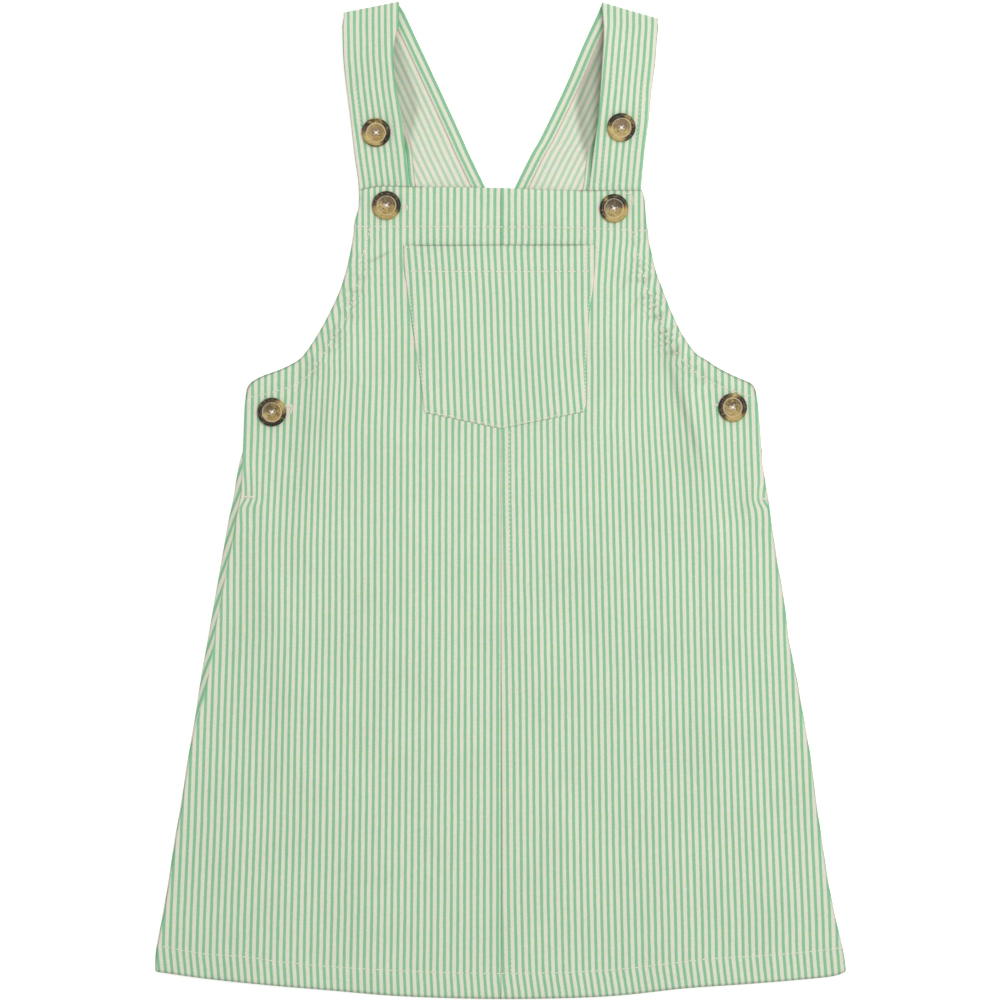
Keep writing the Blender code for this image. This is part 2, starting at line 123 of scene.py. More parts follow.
# ---- Back panel ---------------------------------------------------------------------------------
# One width of striped denim under the fronts. Its sides roll up and round to the side seams, so a
# strip of it shows outside the left seam, its stripes running off at a slant.
SECOND_TOP = 2.7  # top of the cloth that lies on another layer
BACK_SIDE_LEFT = [
    (-157.5, 32.9), (-159, 28), (-160.6, 22.4), (-162.2, 13.8), (-163.8, 2.8), (-167, -12), (-171.3, -36.6),
    (-175.6, -61.2), (-179.9, -85.8), (-184.2, -110.4), (-187.9, -135), (-192.2, -159.6), (-195.9, -184.2),
    (-200.2, -208.8), (-203.9, -233.4), (-208.2, -258), (-210.6, -270.3), (-211.9, -278.3), (-212.2, -289.4),
]
BACK_SIDE_RIGHT = [
    (161.4, 28), (161.4, 23.7), (163.3, 12.6), (165.1, 2.8), (167, -12), (170.7, -36.6), (175, -61.2),
    (178, -85.8), (183, -110.4), (187.3, -135), (191.6, -159.6), (194.6, -184.2), (198.3, -208.8),
    (202, -233.4), (206.9, -258), (210, -270.3), (211.6, -278.3), (213.1, -289.4),
]
UNDERLAP = 151.0
BACK_ARMHOLE = [
    (46.3, 166.7), (48.6, 146.7), (56.5, 125.8), (72.5, 104.9), (95.2, 87.6), (123, 74.1), (UNDERLAP, 66.5),
]
HEM = [
    (-212.2, -289.4), (-184.2, -293.4), (-147.3, -297.4), (-104.9, -301), (-58.7, -304.7), (3.4, -306.3),
    (65.5, -304.7), (113.5, -299.8), (147.9, -297.4), (179.3, -294.9), (203.9, -292.4), (213.1, -289.4),
]
HEM_GAP = 0.6  # the back ends this far above the fronts' hem
SIDE_TOP = 31.0  # the back's side shows up to here
ARMHOLE_FOOT = 66.5
BACK_TOP = 166.7
SIDE_ROWS = 150
UNDERARM_ROWS = 16
BACK_COLUMNS = 90
BACK_THICKNESS = 0.8
BACK_ROLL_STEPS = 10
CURL_TOP = 34.0  # above here the back's edge no longer rolls up round the front's
TIGHT_ROLL = 0.3


def smooth_path(points, steps):
    """Evenly spaced places on a Catmull-Rom curve through the points."""
    points = np.array(points, float)
    knots = np.vstack([2 * points[0] - points[1], points, 2 * points[-1] - points[-2]])
    t = np.linspace(0, 1, 17)[:-1, None]
    runs = []
    for a, b, c, d in zip(knots, knots[1:], knots[2:], knots[3:]):
        bend = (2 * a - 5 * b + 4 * c - d) * t**2 + (3 * b - a - 3 * c + d) * t**3
        runs.append((2 * b + (c - a) * t + bend) / 2)
    dense = np.vstack([*runs, points[-1:]])
    length = np.r_[0, np.cumsum(np.linalg.norm(np.diff(dense, axis=0), axis=1))]
    even = np.linspace(0, length[-1], steps + 1)
    return np.column_stack([np.interp(even, length, column) for column in dense.T])


def at_heights(points, y):
    """Places on the curve through the points, at these y."""
    line = smooth_path(points, 600)
    line = line[np.argsort(line[:, 1])]
    return np.column_stack([np.interp(y, line[:, 1], line[:, 0]), y])


def at_widths(points, x):
    """Places on the curve through the points, at these x."""
    line = smooth_path(points, 600)
    return np.column_stack([x, np.interp(x, line[:, 0], line[:, 1])])


def ease(t):
    """A smooth step from 0 to 1."""
    t = np.clip(t, 0, 1)
    return t * t * (3 - 2 * t)


def bell(away, width):
    """A smooth bump, 1 in the middle."""
    return np.exp(-((away / width) ** 2))


def stretched(foot, top, left, right, u, v):
    """A sheet stretched between four edges that meet at its corners, as rows from the foot up."""
    u = np.asarray(u)[None, :, None]
    v = np.asarray(v)[:, None, None]
    across = (1 - u) * left[:, None] + u * right[:, None]
    along = (1 - v) * foot[None] + v * top[None]
    low = (1 - u) * foot[0] + u * foot[-1]
    high = (1 - u) * top[0] + u * top[-1]
    return across + along - (1 - v) * low - v * high


def woven(name, places, stripes, thickness, materials, shades):
    """A cloth shell: a grid shaped to rows of places in mm, with its wall below, and the weave laid on it.

    Stripes counts the stripes across at each place, and shades holds more values for its material, such
    as how much shade is painted into its colour at each place.
    """
    rows, columns = places.shape[:2]
    grid = bmesh.new()
    bmesh.ops.create_grid(grid, x_segments=columns - 1, y_segments=rows - 1, size=1)
    column = [round((v.co.x + 1) / 2 * (columns - 1)) for v in grid.verts]
    row = [round((v.co.y + 1) / 2 * (rows - 1)) for v in grid.verts]
    mesh = as_mesh(name, grid)
    mesh.vertices.foreach_set("co", (places[row, column] * MM).astype(np.float32).ravel())
    weave = np.stack([stripes[row, column], places[row, column][:, 1] / STRIPE], axis=1)
    corners = np.empty(len(mesh.loops), np.int32)
    mesh.loops.foreach_get("vertex_index", corners)
    mesh.uv_layers.new(name="weave").data.foreach_set("uv", weave[corners].astype(np.float32).ravel())
    for key, shade in shades.items():
        values = mesh.attributes.new(key, "FLOAT", "POINT").data
        values.foreach_set("value", shade[row, column].astype(np.float32))
    for material in materials:
        mesh.materials.append(material)
    mesh.shade_smooth()
    piece = placed(name, mesh)
    wall = piece.modifiers.new("wall", "SOLIDIFY")
    wall.thickness = thickness * MM
    wall.offset = -1
    wall.use_even_offset = False
    wall.use_quality_normals = True
    wall.material_offset = 1
    wall.material_offset_rim = 0
    return piece


class Dye:
    """A socket in a material's nodes, which takes part in ordinary sums."""

    def __init__(self, tree, socket=None):
        self.tree = tree
        self.socket = socket

    def make(self, kind, settings=None, values=None, output=0):
        """Any other node: its settings are set first, then the values or links of its sockets."""
        node = self.tree.nodes.new(kind)
        for key, value in (settings or {}).items():
            if key == "stops":
                stops = node.color_ramp.elements
                for place, (position, colour) in enumerate(value):
                    stop = stops[place] if place < len(stops) else stops.new(position)
                    stop.position = position
                    stop.color = colour
            else:
                setattr(node, key, value)
        for key, value in (values or {}).items():
            if isinstance(value, Dye):
                self.tree.links.new(value.socket, node.inputs[key])
            else:
                node.inputs[key].default_value = value
        return Dye(self.tree, node.outputs[output])

    def noise(self, place, scale, detail, settings=None, output=0, **values):
        values = {"Vector": place, "Scale": scale, "Detail": detail, **values}
        return self.make("ShaderNodeTexNoise", settings, values, output)

    def woven_noise(self, place, scale, detail, output=0, **values):
        return self.noise(place, scale, detail, {"noise_dimensions": "2D"}, output, **values)

    def attribute(self, name):
        return self.make("ShaderNodeAttribute", {"attribute_name": name}, None, 2)

    def mix(self, factor, first, second):
        return self.make("ShaderNodeMix", {"data_type": "RGBA"}, {"Factor": factor, "A": first, "B": second}, 2)

    def vector(self, operation, values):
        return self.make("ShaderNodeVectorMath", {"operation": operation}, values)

    def into(self, node, key):
        self.tree.links.new(self.socket, node.inputs[key])

    def maths(self, operation, first, second=0.0):
        return self.make("ShaderNodeMath", {"operation": operation}, {0: first, 1: second})

    def __add__(self, other):
        return self.maths("ADD", self, other)

    def __sub__(self, other):
        return self.maths("SUBTRACT", self, other)

    def __rsub__(self, other):
        return self.maths("SUBTRACT", other, self)

    def __mul__(self, other):
        return self.maths("MULTIPLY", self, other)

    __radd__ = __add__
    __rmul__ = __mul__

    def __truediv__(self, other):
        return self.maths("DIVIDE", self, other)


STRIPE = 4.1  # one green and one cream stripe
GREEN = (0.152, 0.494, 0.246, 1)
CREAM = (0.690, 0.630, 0.532, 1)
WRONG_GREEN = (0.330, 0.560, 0.380, 1)
PAINTED_SHADE_TINT = (0.29, 0.26, 0.235, 1)  # what the deepest painted shade leaves of the colour
YARNS_PER_STRIPE = 9.0
GREEN_SHARE = 0.226  # half of the green's share of a stripe
TURNING = 8.2  # width of the turned hem along a strap's edge
OUTER_TURNING = 3.3  # and along its outer edge, where it is narrower
BAND_FIRST = 1.35  # the turned hem's first stripe lies this far in from the edge
BAND_STRETCH = 1.09
FOLD_LINE_SHADE = 0.52
SOFTNESS = 0.07  # how soft the stripes' edges are, as a share of a stripe
FULL_TURN = 6.2832


def denim(name, wrong_side=False, turned_edges=False):
    """Twill with narrow stripes: soft-edged green warp on cream, washed, and matt."""
    material, surface = painted(name)
    dye = Dye(material.node_tree)
    weave = dye.make("ShaderNodeUVMap", {"uv_map": "weave"})
    across, along = (dye.make("ShaderNodeSeparateXYZ", None, {0: weave}, output) for output in (0, 1))
    slow = dye.make("ShaderNodeCombineXYZ", None, {0: across * 0.9, 1: along * 0.28})
    picks = dye.make("ShaderNodeCombineXYZ", None, {0: across * YARNS_PER_STRIPE * 0.35, 1: along * 6.0})
    wander = dye.woven_noise(slow, 1.0, 2.0)
    slub = dye.woven_noise(picks, 1.0, 3.0, Roughness=0.6)
    cloud = dye.woven_noise(weave, 0.12, 3.0)
    fleck = dye.woven_noise(weave, 3.1, 2.0, Roughness=0.7)
    cast = dye.woven_noise(weave, 1.3, 2.0, output=1)
    painted_shade = dye.attribute("painted_shade")
    counted = across
    fading = 1.0 if wrong_side else 0.0
    if turned_edges:
        inner = dye.attribute("inner_gap")
        outer = dye.attribute("outer_gap")
        nearest = dye.maths("MINIMUM", inner, outer + (TURNING - OUTER_TURNING))
        turned = dye.maths("LESS_THAN", nearest, TURNING)
        band = (nearest - BAND_FIRST) / (STRIPE * BAND_STRETCH) + 0.5
        counted = band * turned + across * (1 - turned)
        fading = 1 - turned
        fold_line = dye.maths("ABSOLUTE", nearest - TURNING)
        shadow = dye.make("ShaderNodeMapRange", None, {"Value": fold_line, "From Min": 0.8, "From Max": 0.2})
        painted_shade = dye.maths("MAXIMUM", painted_shade, shadow * FOLD_LINE_SHADE)
    place = dye.maths("FRACT", counted + (wander - 0.5) * 0.09 + (slub - 0.5) * 0.14)
    off_centre = dye.maths("ABSOLUTE", place - 0.5)
    soft_edge = {"From Min": GREEN_SHARE + SOFTNESS, "From Max": GREEN_SHARE - SOFTNESS}
    stripe = dye.make(
        "ShaderNodeMapRange", {"interpolation_type": "SMOOTHSTEP"}, {"Value": off_centre, **soft_edge}
    )
    green = dye.mix(fading, GREEN, WRONG_GREEN)
    worn = stripe * (0.93 + (slub - 0.5) * 0.30 + (fleck - 0.5) * 0.35)
    cloth = dye.mix(worn, CREAM, green)
    tinted = dye.vector("SUBTRACT", {0: cast, 1: (0.5, 0.5, 0.5)})
    tinted = dye.vector("MULTIPLY_ADD", {0: tinted, 1: (0.16, 0.08, 0.22), 2: (1, 1, 1)})
    cloth = dye.vector("MULTIPLY", {0: cloth, 1: tinted})
    tone = 1.0 + (slub - 0.5) * 0.15 + (cloud - 0.5) * 0.08 + (fleck - 0.5) * 0.16
    cloth = dye.vector("SCALE", {0: cloth, "Scale": tone})
    # painted shade: the colour is darkened towards the tint by how much shade is painted at each place
    dimmed = dye.mix(painted_shade, WHITE, PAINTED_SHADE_TINT)
    dye.vector("MULTIPLY", {0: cloth, 1: dimmed}).into(surface, "Base Color")
    diagonal = dye.maths("SINE", (across * YARNS_PER_STRIPE + along * 7.0) * FULL_TURN)
    picked = dye.maths("SINE", (along * 14.0) * FULL_TURN)
    relief = diagonal * 0.3 + picked * 0.12 + slub * 1.2
    bump = dye.make("ShaderNodeBump", None, {"Height": relief, "Strength": 0.45, "Distance": 0.00012})
    bump.into(surface, "Normal")
    (0.86 + (slub - 0.5) * 0.1).into(surface, "Roughness")
    surface.inputs["Specular IOR Level"].default_value = 0.15
    surface.inputs["Sheen Weight"].default_value = 0.12
    surface.inputs["Sheen Roughness"].default_value = 0.6
    return material


striped_denim = denim("striped_denim")
denim_wrong_side = denim("denim_wrong_side", wrong_side=True)


back_y = np.linspace(HEM[0][1] + HEM_GAP, SIDE_TOP, SIDE_ROWS)
underarm_y = np.linspace(SIDE_TOP, ARMHOLE_FOOT, UNDERARM_ROWS)[1:]
back_top_y = np.linspace(ARMHOLE_FOOT, BACK_TOP, 42)[1:]
columns = {}
for side, table_side, sign in (("left", BACK_SIDE_LEFT, 1), ("right", BACK_SIDE_RIGHT, -1)):
    shown = at_heights(table_side, back_y)
    underarm_x = -sign * np.linspace(abs(shown[-1, 0]), UNDERLAP, UNDERARM_ROWS)[1:]
    hidden = np.column_stack([underarm_x, underarm_y])
    armhole = at_heights([(-sign * half, y) for half, y in BACK_ARMHOLE], back_top_y)
    outline = np.vstack([shown, hidden, armhole])
    curl = ease((CURL_TOP - outline[:, 1]) / 12.0)
    radius = TIGHT_ROLL + ((SECOND_TOP - 0.1) / 2 - TIGHT_ROLL) * curl
    start = outline.copy()
    start[:, 0] += sign * radius
    over = 1.2 + 2.4 * ease((outline[:, 1] + 150) / 40) if side == "left" else np.full(len(outline), 1.6)
    edge_columns = []
    for step in range(BACK_ROLL_STEPS + 1):
        angle = math.pi * step / BACK_ROLL_STEPS
        edge_columns.append(np.column_stack([
            start[:, 0] - sign * radius * math.sin(angle),
            outline[:, 1],
            radius * (1 - math.cos(angle)),
        ]))
    for share in (0.5, 1.0):
        on_top = np.column_stack([sign * over * share, 0 * over, 0 * over])
        edge_columns.append(edge_columns[BACK_ROLL_STEPS] + on_top)
    columns[side] = edge_columns
left_edge, right_edge = columns["left"][0][:, :2], columns["right"][0][:, :2]
flat_u = np.linspace(0, 1, BACK_COLUMNS)
back_foot = at_widths(HEM, left_edge[0, 0] + flat_u * (right_edge[0, 0] - left_edge[0, 0]))
back_foot[:, 1] += HEM_GAP
back_foot[0], back_foot[-1] = left_edge[0], right_edge[0]
back_top = np.linspace(left_edge[-1], right_edge[-1], BACK_COLUMNS)
back_v = np.linspace(0, 1, len(left_edge))
back_flat = stretched(back_foot, back_top, left_edge, right_edge, flat_u, back_v)
back_flat = np.dstack([back_flat, np.zeros(back_flat.shape[:2])])
back_places = np.concatenate(
    [np.stack(columns["left"][:0:-1], axis=1), back_flat, np.stack(columns["right"][1:], axis=1)], axis=1
)
back_steps = np.diff(back_places, axis=1, prepend=back_places[:, :1])
back_length = np.cumsum(np.linalg.norm(back_steps, axis=2), axis=1)
back_middle = back_length - back_length[:, back_length.shape[1] // 2, None]
back_slant = np.where(back_places[..., 0] < 0, 0.025, -0.025) * ease((np.abs(back_places[..., 0]) - 120) / 60)
back_stripes = (back_middle + back_slant * back_places[..., 1]) / STRIPE
# painted shade on the strip of the back that shows outside the left seam, beside the front's raised edge
back_painted_shade = 0.16 * ease((-100 - back_places[..., 0]) / 10)
back = woven(
    "back_cloth",
    back_places[:, ::-1],
    back_stripes[:, ::-1],
    BACK_THICKNESS,
    [striped_denim, denim_wrong_side],
    {"painted_shade": back_painted_shade[:, ::-1]},
)
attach(back, "root")
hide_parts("back")

# ---- Shoulder straps ----------------------------------------------------------------------------
# Each strap is one length of denim with both long edges turned in and topstitched. It runs up from
# the V at the back, folds over the shoulder and comes down the front to end under the bib.
STRAP_THICKNESS = 1.1
STRAP_LOOP = 4.4
STRAPS = {
    "left": {
        "back": [
            (-46.3, 167, 0.4, 167), (-48, 173.4, 0.4, 173.4), (-55.3, 192.8, -9, 192.8),
            (-57.7, 213.1, -18.8, 213.1), (-60.3, 224.2, -23.7, 224.2), (-70.4, 253.7, -37.2, 253.7),
            (-82.1, 280.7, -49.8, 280.7), (-95, 294.3, -58.6, 299.8),
        ],
        "shoulder": (-96.4, 300.5, -62.4, 307.2),
        "front": [
            (-96.9, 291.8, -62.2, 291.8), (-96.7, 283.2, -64.6, 283.2), (-96.2, 270.9, -65.5, 270.9),
            (-94.4, 253.7, -63.7, 253.7), (-91.9, 234, -60, 234), (-89.5, 213.1, -58, 213.1),
            (-87, 194, -56.1, 194), (-86.7, 175.6, -54.4, 175.6), (-86.1, 148.5, -54.4, 152.2),
        ],
        "rise": [(306, 0), (290, 4.2), (262, 8.4), (240, 6.8), (222, 3.6), (206, 1), (196, 0), (140, 0)],
        "shade": 0.35,
        "hollow": [
            (-65.5, 290.6), (-61.8, 278.3), (-55, 258.6), (-51.4, 243.8), (-54.4, 226.6), (-58.1, 206.3),
        ],
        "front_stripes": [
            (291.8, -85.7, -74.3), (272.8, -85.3, -73.9), (253.1, -83.6, -72.1), (233.4, -81.1, -69.2),
            (213.7, -78.5, -66.7), (194, -76, -64.6),
        ],
    },
    "right": {
        "back": [
            (47.5, 167, 0.8, 167), (49.2, 173.4, 0.8, 173.4), (54.6, 192.8, 9.2, 192.8),
            (57.3, 213.1, 19.2, 213.1), (60, 224.2, 25.5, 224.2), (72.9, 253.7, 39.7, 253.7),
            (83.9, 280.7, 51.4, 280.7), (95.4, 293, 60, 299.4),
        ],
        "shoulder": (97.4, 296.8, 62.9, 306.8),
        "front": [
            (97.4, 291.8, 63.7, 291.8), (96.5, 283.2, 63.7, 283.2), (95.3, 267.8, 62.7, 267.8),
            (93.2, 252.5, 61.7, 252.5), (91.6, 235.2, 60.3, 235.2), (88.9, 214.9, 57.6, 214.9),
            (87, 192.8, 54.7, 192.8), (86.7, 175.6, 53.2, 175.6), (86.1, 149.1, 53.8, 152.2),
        ],
        "rise": [(306, 0), (290, 4.6), (266, 9.2), (240, 8.2), (222, 4.8), (206, 1.6), (196, 0), (140, 0)],
        "shade": 0.52,
        "hollow": [(63.7, 290.6), (56.9, 272.1), (49.5, 254.9), (47.7, 241.4), (50.1, 224.2), (54.4, 204.5)],
        "front_stripes": [
            (291.8, 74.4, 86), (272.8, 72.8, 84.6), (253.1, 71.1, 82.8), (233.4, 69.2, 81.5),
            (213.7, 67.5, 79.4), (194, 65.7, 77.6),
        ],
    },
}
STRAP_BACK_STEPS = 110
STRAP_FRONT_STEPS = 130
STRAP_LOOP_STEPS = 14
STRAP_COLUMNS = 72
SETTLED_Y = (196, 206, 222, 300)
SETTLED = (0.1, 0.9, 1.4, 1.9)  # the front half's height over the back half, at these y
BACK_STRIPE = 4.38
BACK_STRIPE_FIRST = {"left": 12.3, "right": 12.0}

strap_denim = denim("strap_denim")
strap_inside = denim("strap_inside", turned_edges=True)
straps = {}
for side, table in STRAPS.items():
    back_run = smooth_path(table["back"], STRAP_BACK_STEPS)
    front_run = smooth_path(table["front"], STRAP_FRONT_STEPS)
    rise_y, rise = np.array(table["rise"])[::-1].T
    shoulder = np.array(table["shoulder"])
    along = shoulder[2:] - shoulder[:2]
    outwards = np.array([-along[1], along[0]]) / np.hypot(*along)
    outwards *= np.sign(outwards[1])
    radius = STRAP_LOOP / 2
    sections = [(*row, 0.0, 0.0) for row in back_run]
    for step in range(STRAP_LOOP_STEPS + 1):
        angle = math.pi * (step / STRAP_LOOP_STEPS - 0.5)
        inset = np.tile(outwards * radius * (math.cos(angle) - 1), 2)
        height = radius * (1 + math.sin(angle))
        sections.append((*(shoulder + inset), height, height))
    for row in front_run:
        lift = np.interp(row[1], rise_y, rise)
        settled = STRAP_THICKNESS + np.interp(row[1], SETTLED_Y, SETTLED)
        sections.append((*row, settled + lift * 0.35, settled + lift * 0.9))
    share = np.linspace(0, 1, STRAP_COLUMNS + 1)[:, None]
    rows = []
    for outer_x, outer_y, inner_x, inner_y, outer_z, inner_z in sections:
        outer = np.array([outer_x, outer_y, outer_z])
        inner = np.array([inner_x, inner_y, inner_z])
        rows.append(outer + share * (inner - outer))
    places = np.array(rows)
    width = np.linalg.norm(places[:, -1] - places[:, 0], axis=1)[:, None]
    outer_gap = width * share[:, 0]
    inner_gap = width - outer_gap
    front_from = STRAP_BACK_STEPS + STRAP_LOOP_STEPS + 2
    # the outline rounds off at the turned edges, and the cloth cups a little between them
    near_edge = np.minimum(outer_gap, inner_gap)
    near_turning = np.minimum(outer_gap + TURNING - OUTER_TURNING, inner_gap)
    body = np.arange(len(places))[:, None] >= front_from
    places[..., 2] += body * (0.35 * ease((TURNING - near_edge) / 2.0) - 0.45 * (1 - ease(near_edge / 0.9)))
    places[..., 2] += (1 - body) * 0.35 * ease((TURNING - near_turning) / 0.8)
    stripe_y, first, fourth = np.array(table["front_stripes"])[::-1].T
    at_first = np.interp(places[..., 1], stripe_y, first)
    at_fourth = np.interp(places[..., 1], stripe_y, fourth)
    front_count = 3 * (places[..., 0] - at_first) / (at_fourth - at_first) + 0.5
    back_count = (inner_gap - BACK_STRIPE_FIRST[side]) / BACK_STRIPE + 0.5
    turn = ease((np.arange(len(places))[:, None] - STRAP_BACK_STEPS) / 3)
    stripes = (1 - turn) * back_count + turn * front_count
    # the back half sinks into a hollow beside the front half, with painted shade there and along its edges
    hollow = at_heights(table["hollow"], places[..., 1].ravel())[:, 0].reshape(places.shape[:2])
    inside = (hollow - places[..., 0]) * (1 if side == "left" else -1)
    in_fold = ease((places[..., 1] - 198) / 22) * ease((298 - places[..., 1]) / 16) * (1 - body)
    painted_shade = 0.40 * (1 - ease(np.minimum(inner_gap, outer_gap) / 0.9))
    sunk = ease((inside + 3.5) / 5.0) * (0.78 + 0.22 * bell(inside - 1.5, 3.0))
    painted_shade = np.maximum(painted_shade, table["shade"] * in_fold * sunk)
    if side == "left":
        sheets = (places, stripes, outer_gap, inner_gap, painted_shade)
        places, stripes, outer_gap, inner_gap, painted_shade = (sheet[:, ::-1] for sheet in sheets)
    strap = woven(
        f"strap_{side}_cloth",
        places,
        stripes,
        STRAP_THICKNESS,
        [strap_denim, strap_inside],
        {"inner_gap": inner_gap, "outer_gap": outer_gap, "painted_shade": painted_shade},
    )
    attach(strap, "root")
    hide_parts(f"strap_{side}")
    straps[side] = strap

# ---- Front panels -------------------------------------------------------------------------------
# Two panels joined down the centre front. Each has a faced bib and armhole, an extension that buttons
# over the back at the side opening, and a flared side. They lie on the back with soft folds.
OUTER = {
    "left": [
        (-87, 191.3), (-86.4, 186.7), (-87, 180.5), (-88.3, 175.6), (-89.7, 170), (-90, 165.1), (-90.7, 160.2),
        (-92.6, 150.4), (-95, 140.5), (-98.1, 130.7), (-102.4, 120.8), (-107.3, 111), (-112.9, 101.2),
        (-119.6, 91.3), (-124.5, 86.4), (-133.8, 81.5), (-146.1, 76.9), (-151.9, 73.8), (-154.8, 71),
        (-155.9, 67.3), (-156.5, 63), (-157.1, 56.9), (-157.7, 42.1), (-158.1, 32.3), (-158.4, 26.8),
        (-159, 12.6), (-159.6, 3.1), (-162.2, -9.8), (-164.7, -24.3), (-169.7, -49.5), (-174.4, -73.5),
        (-178.7, -100.6), (-181.2, -116.5), (-186, -132.5), (-190.7, -153.4), (-195.3, -184.2),
        (-199.6, -208.8), (-203.3, -233.4), (-207.6, -258), (-210, -270.3), (-211.3, -278.3), (-211.6, -289.4),
    ],
    "right": [
        (87.3, 191.3), (88.9, 186), (89.5, 178.7), (90.1, 171.3), (91.3, 165.1), (91.6, 160.2), (93.8, 150.4),
        (96.2, 140.5), (99.9, 130.7), (103.6, 120.8), (107.9, 111), (112.9, 101.2), (120.2, 91.3),
        (127.6, 86.4), (134.4, 81.8), (144.8, 76.6), (154.1, 72.6), (156.8, 69.2), (157.7, 65.5), (159, 56.9),
        (160.2, 42.1), (160.8, 32.3), (161.4, 23.7), (162.9, 12.6), (164.2, 2.8), (166.5, -12), (170.2, -36.6),
        (174.5, -61.2), (177.6, -85.8), (182.5, -110.4), (186.8, -135), (191.1, -159.6), (194.2, -184.2),
        (197.8, -208.8), (201.5, -233.4), (206.5, -258), (209.5, -270.3), (210.9, -278.3), (212.5, -289.4),
    ],
}
BIB_TOP = [
    (-87, 191.3), (-73.5, 193.7), (-48.9, 193.3), (-8.9, 192.8), (10.1, 192.2), (37.2, 191.1), (65.5, 191.1),
    (87.3, 191.3),
]
CENTRE = 0.6
HEM_CORNER_Y = -289.4
SIDE_OPENING_Y = 60
CHEST_Y = 106
BIB_CORNER_Y = 191.3
CLEAR_OF_EDGE = 7.0  # the fronts begin to sink this far past the cloth below
DRAPE = 14.0  # and are down after this much more
SINK = 1.5
EDGE_ROUND = 0.8
EDGE_DROP = 0.5
PUCKER_DEPTH = {"left": 0.36, "right": 0.52}
PUCKER_REACH = 8.5
ARMHOLE_LEAN = {"left": 1.3, "right": 0.4}  # how far the stripes lean in at the armhole's edge
TACK_LEAD = {"left": 26.0, "right": 14.0}  # how far above a bar tack the stripes begin to lean
FRONT_THICKNESS = 0.95
PANEL_COLUMNS = 116
DARKEST_PAINTED_SHADE = 0.75
FACING_LINE = [(-88.6, 168.8), (-48.9, 168.8), (0.3, 168.6), (37.2, 168.2), (64.9, 167.3), (90.1, 166.1)]
ARMHOLE_LINES = {
    "left": [
        (-80.3, 168.2), (-81.5, 160.8), (-84.9, 149.8), (-85.2, 140.5), (-88.3, 131.3), (-95, 112.2),
        (-104.2, 98.1), (-109.8, 88.3), (-117.2, 77.8), (-127.6, 71), (-140.5, 66.7), (-154.1, 63.7),
    ],
    "right": [
        (81.5, 166.4), (82.7, 160.8), (85.2, 149.1), (88.9, 136.2), (92.6, 125.2), (98.7, 111), (101.8, 102.4),
        (105.5, 95.6), (114.7, 83.9), (128.2, 74.1), (141.1, 68.6), (156.5, 63.7),
    ],
}
HEM_LINE = [
    (-210.6, -273.4), (-183.6, -278.3), (-159, -280.1), (-136.8, -283.2), (-104.9, -286.3), (-58.7, -289.1),
    (0.3, -290.6), (65.5, -288.7), (125.2, -282), (154.7, -280.1), (186, -277.7), (211.3, -274.6),
]
CENTRE_LINE = [(5.6, 43.4), (6.2, -61.2), (6.5, -159.6), (6.7, -245.7), (6.8, -290)]

# Soft folds and dents of the fronts: their line, height at the middle and half-width.
FOLDS = [
    ([(-106.7, 101.8), (-109.8, 79), (-113.5, 43.4), (-117.2, 3.4)], 3.4, 8.5),
    ([(-148.5, -2.8), (-141.1, -55), (-130.1, -116.5), (-127.6, -153.4), (-104.2, -184.2)], 2.1, 13),
    ([(-95, 109.8), (-91.9, 91.3), (-90.1, 71)], 1.3, 6),
    ([(-122.7, 0.3), (-119, -42.7), (-115.9, -98.1)], 1.5, 11),
    ([(90.7, 128.2), (103.6, 101.8), (114.7, 74.1), (121.5, 37.2), (124.5, 6.5), (136.8, -39.7)], 3.4, 9),
    ([(158.4, -27.4), (146.7, -67.3), (136.8, -101.2), (125.2, -178)], 2.4, 13),
    ([(81.5, 109.8), (69.2, 77.2), (59.3, 52.6), (39.1, 3.4)], 1.7, 8),
    ([(-153.4, 18.8), (-149.1, 5.2), (-146.1, -12)], 1.5, 6),
    ([(158.4, 17.5), (155.9, 2.8), (151.6, -15.1)], 1.4, 6),
    ([(-88.9, 39.1), (-55, 36.6), (-21.2, 37.8)], 0.8, 5),
    ([(-67.3, -12), (-64.3, -85.8), (-68.6, -159.6)], 0.9, 15),
    ([(74.1, -36.6), (81.5, -110.4), (79, -196.5)], 1, 16),
    ([(-36.6, -61.2), (-32.9, -159.6), (-29.2, -245.7)], 0.7, 18),
    ([(37.2, -85.8), (32.3, -165.7), (37.8, -264.1)], 0.7, 16),
    ([(-159.6, -184.2), (-164.5, -233.4), (-162.1, -276.4)], 1.2, 12),
    ([(165.1, -184.2), (161.4, -233.4), (166.4, -276.4)], 1.2, 12),
    ([(-82.7, 146.7), (-67.3, 151), (-60, 152.8)], 0.7, 3.5),
    ([(81.5, 146.7), (75.3, 134.4), (65.5, 123.3)], 0.9, 4),
    ([(91.3, 125.8), (83.9, 119.6), (72.9, 104.9)], 0.8, 4),
    ([(95.6, 115.9), (86.4, 104.9), (77.2, 91.3)], 0.7, 4),
    ([(-141.1, 37.2), (-133.1, 29.8), (-122.7, 18.8)], -0.8, 5),
    ([(144.8, 37.2), (136.8, 29.8), (128.2, 17.5)], -0.8, 5),
]
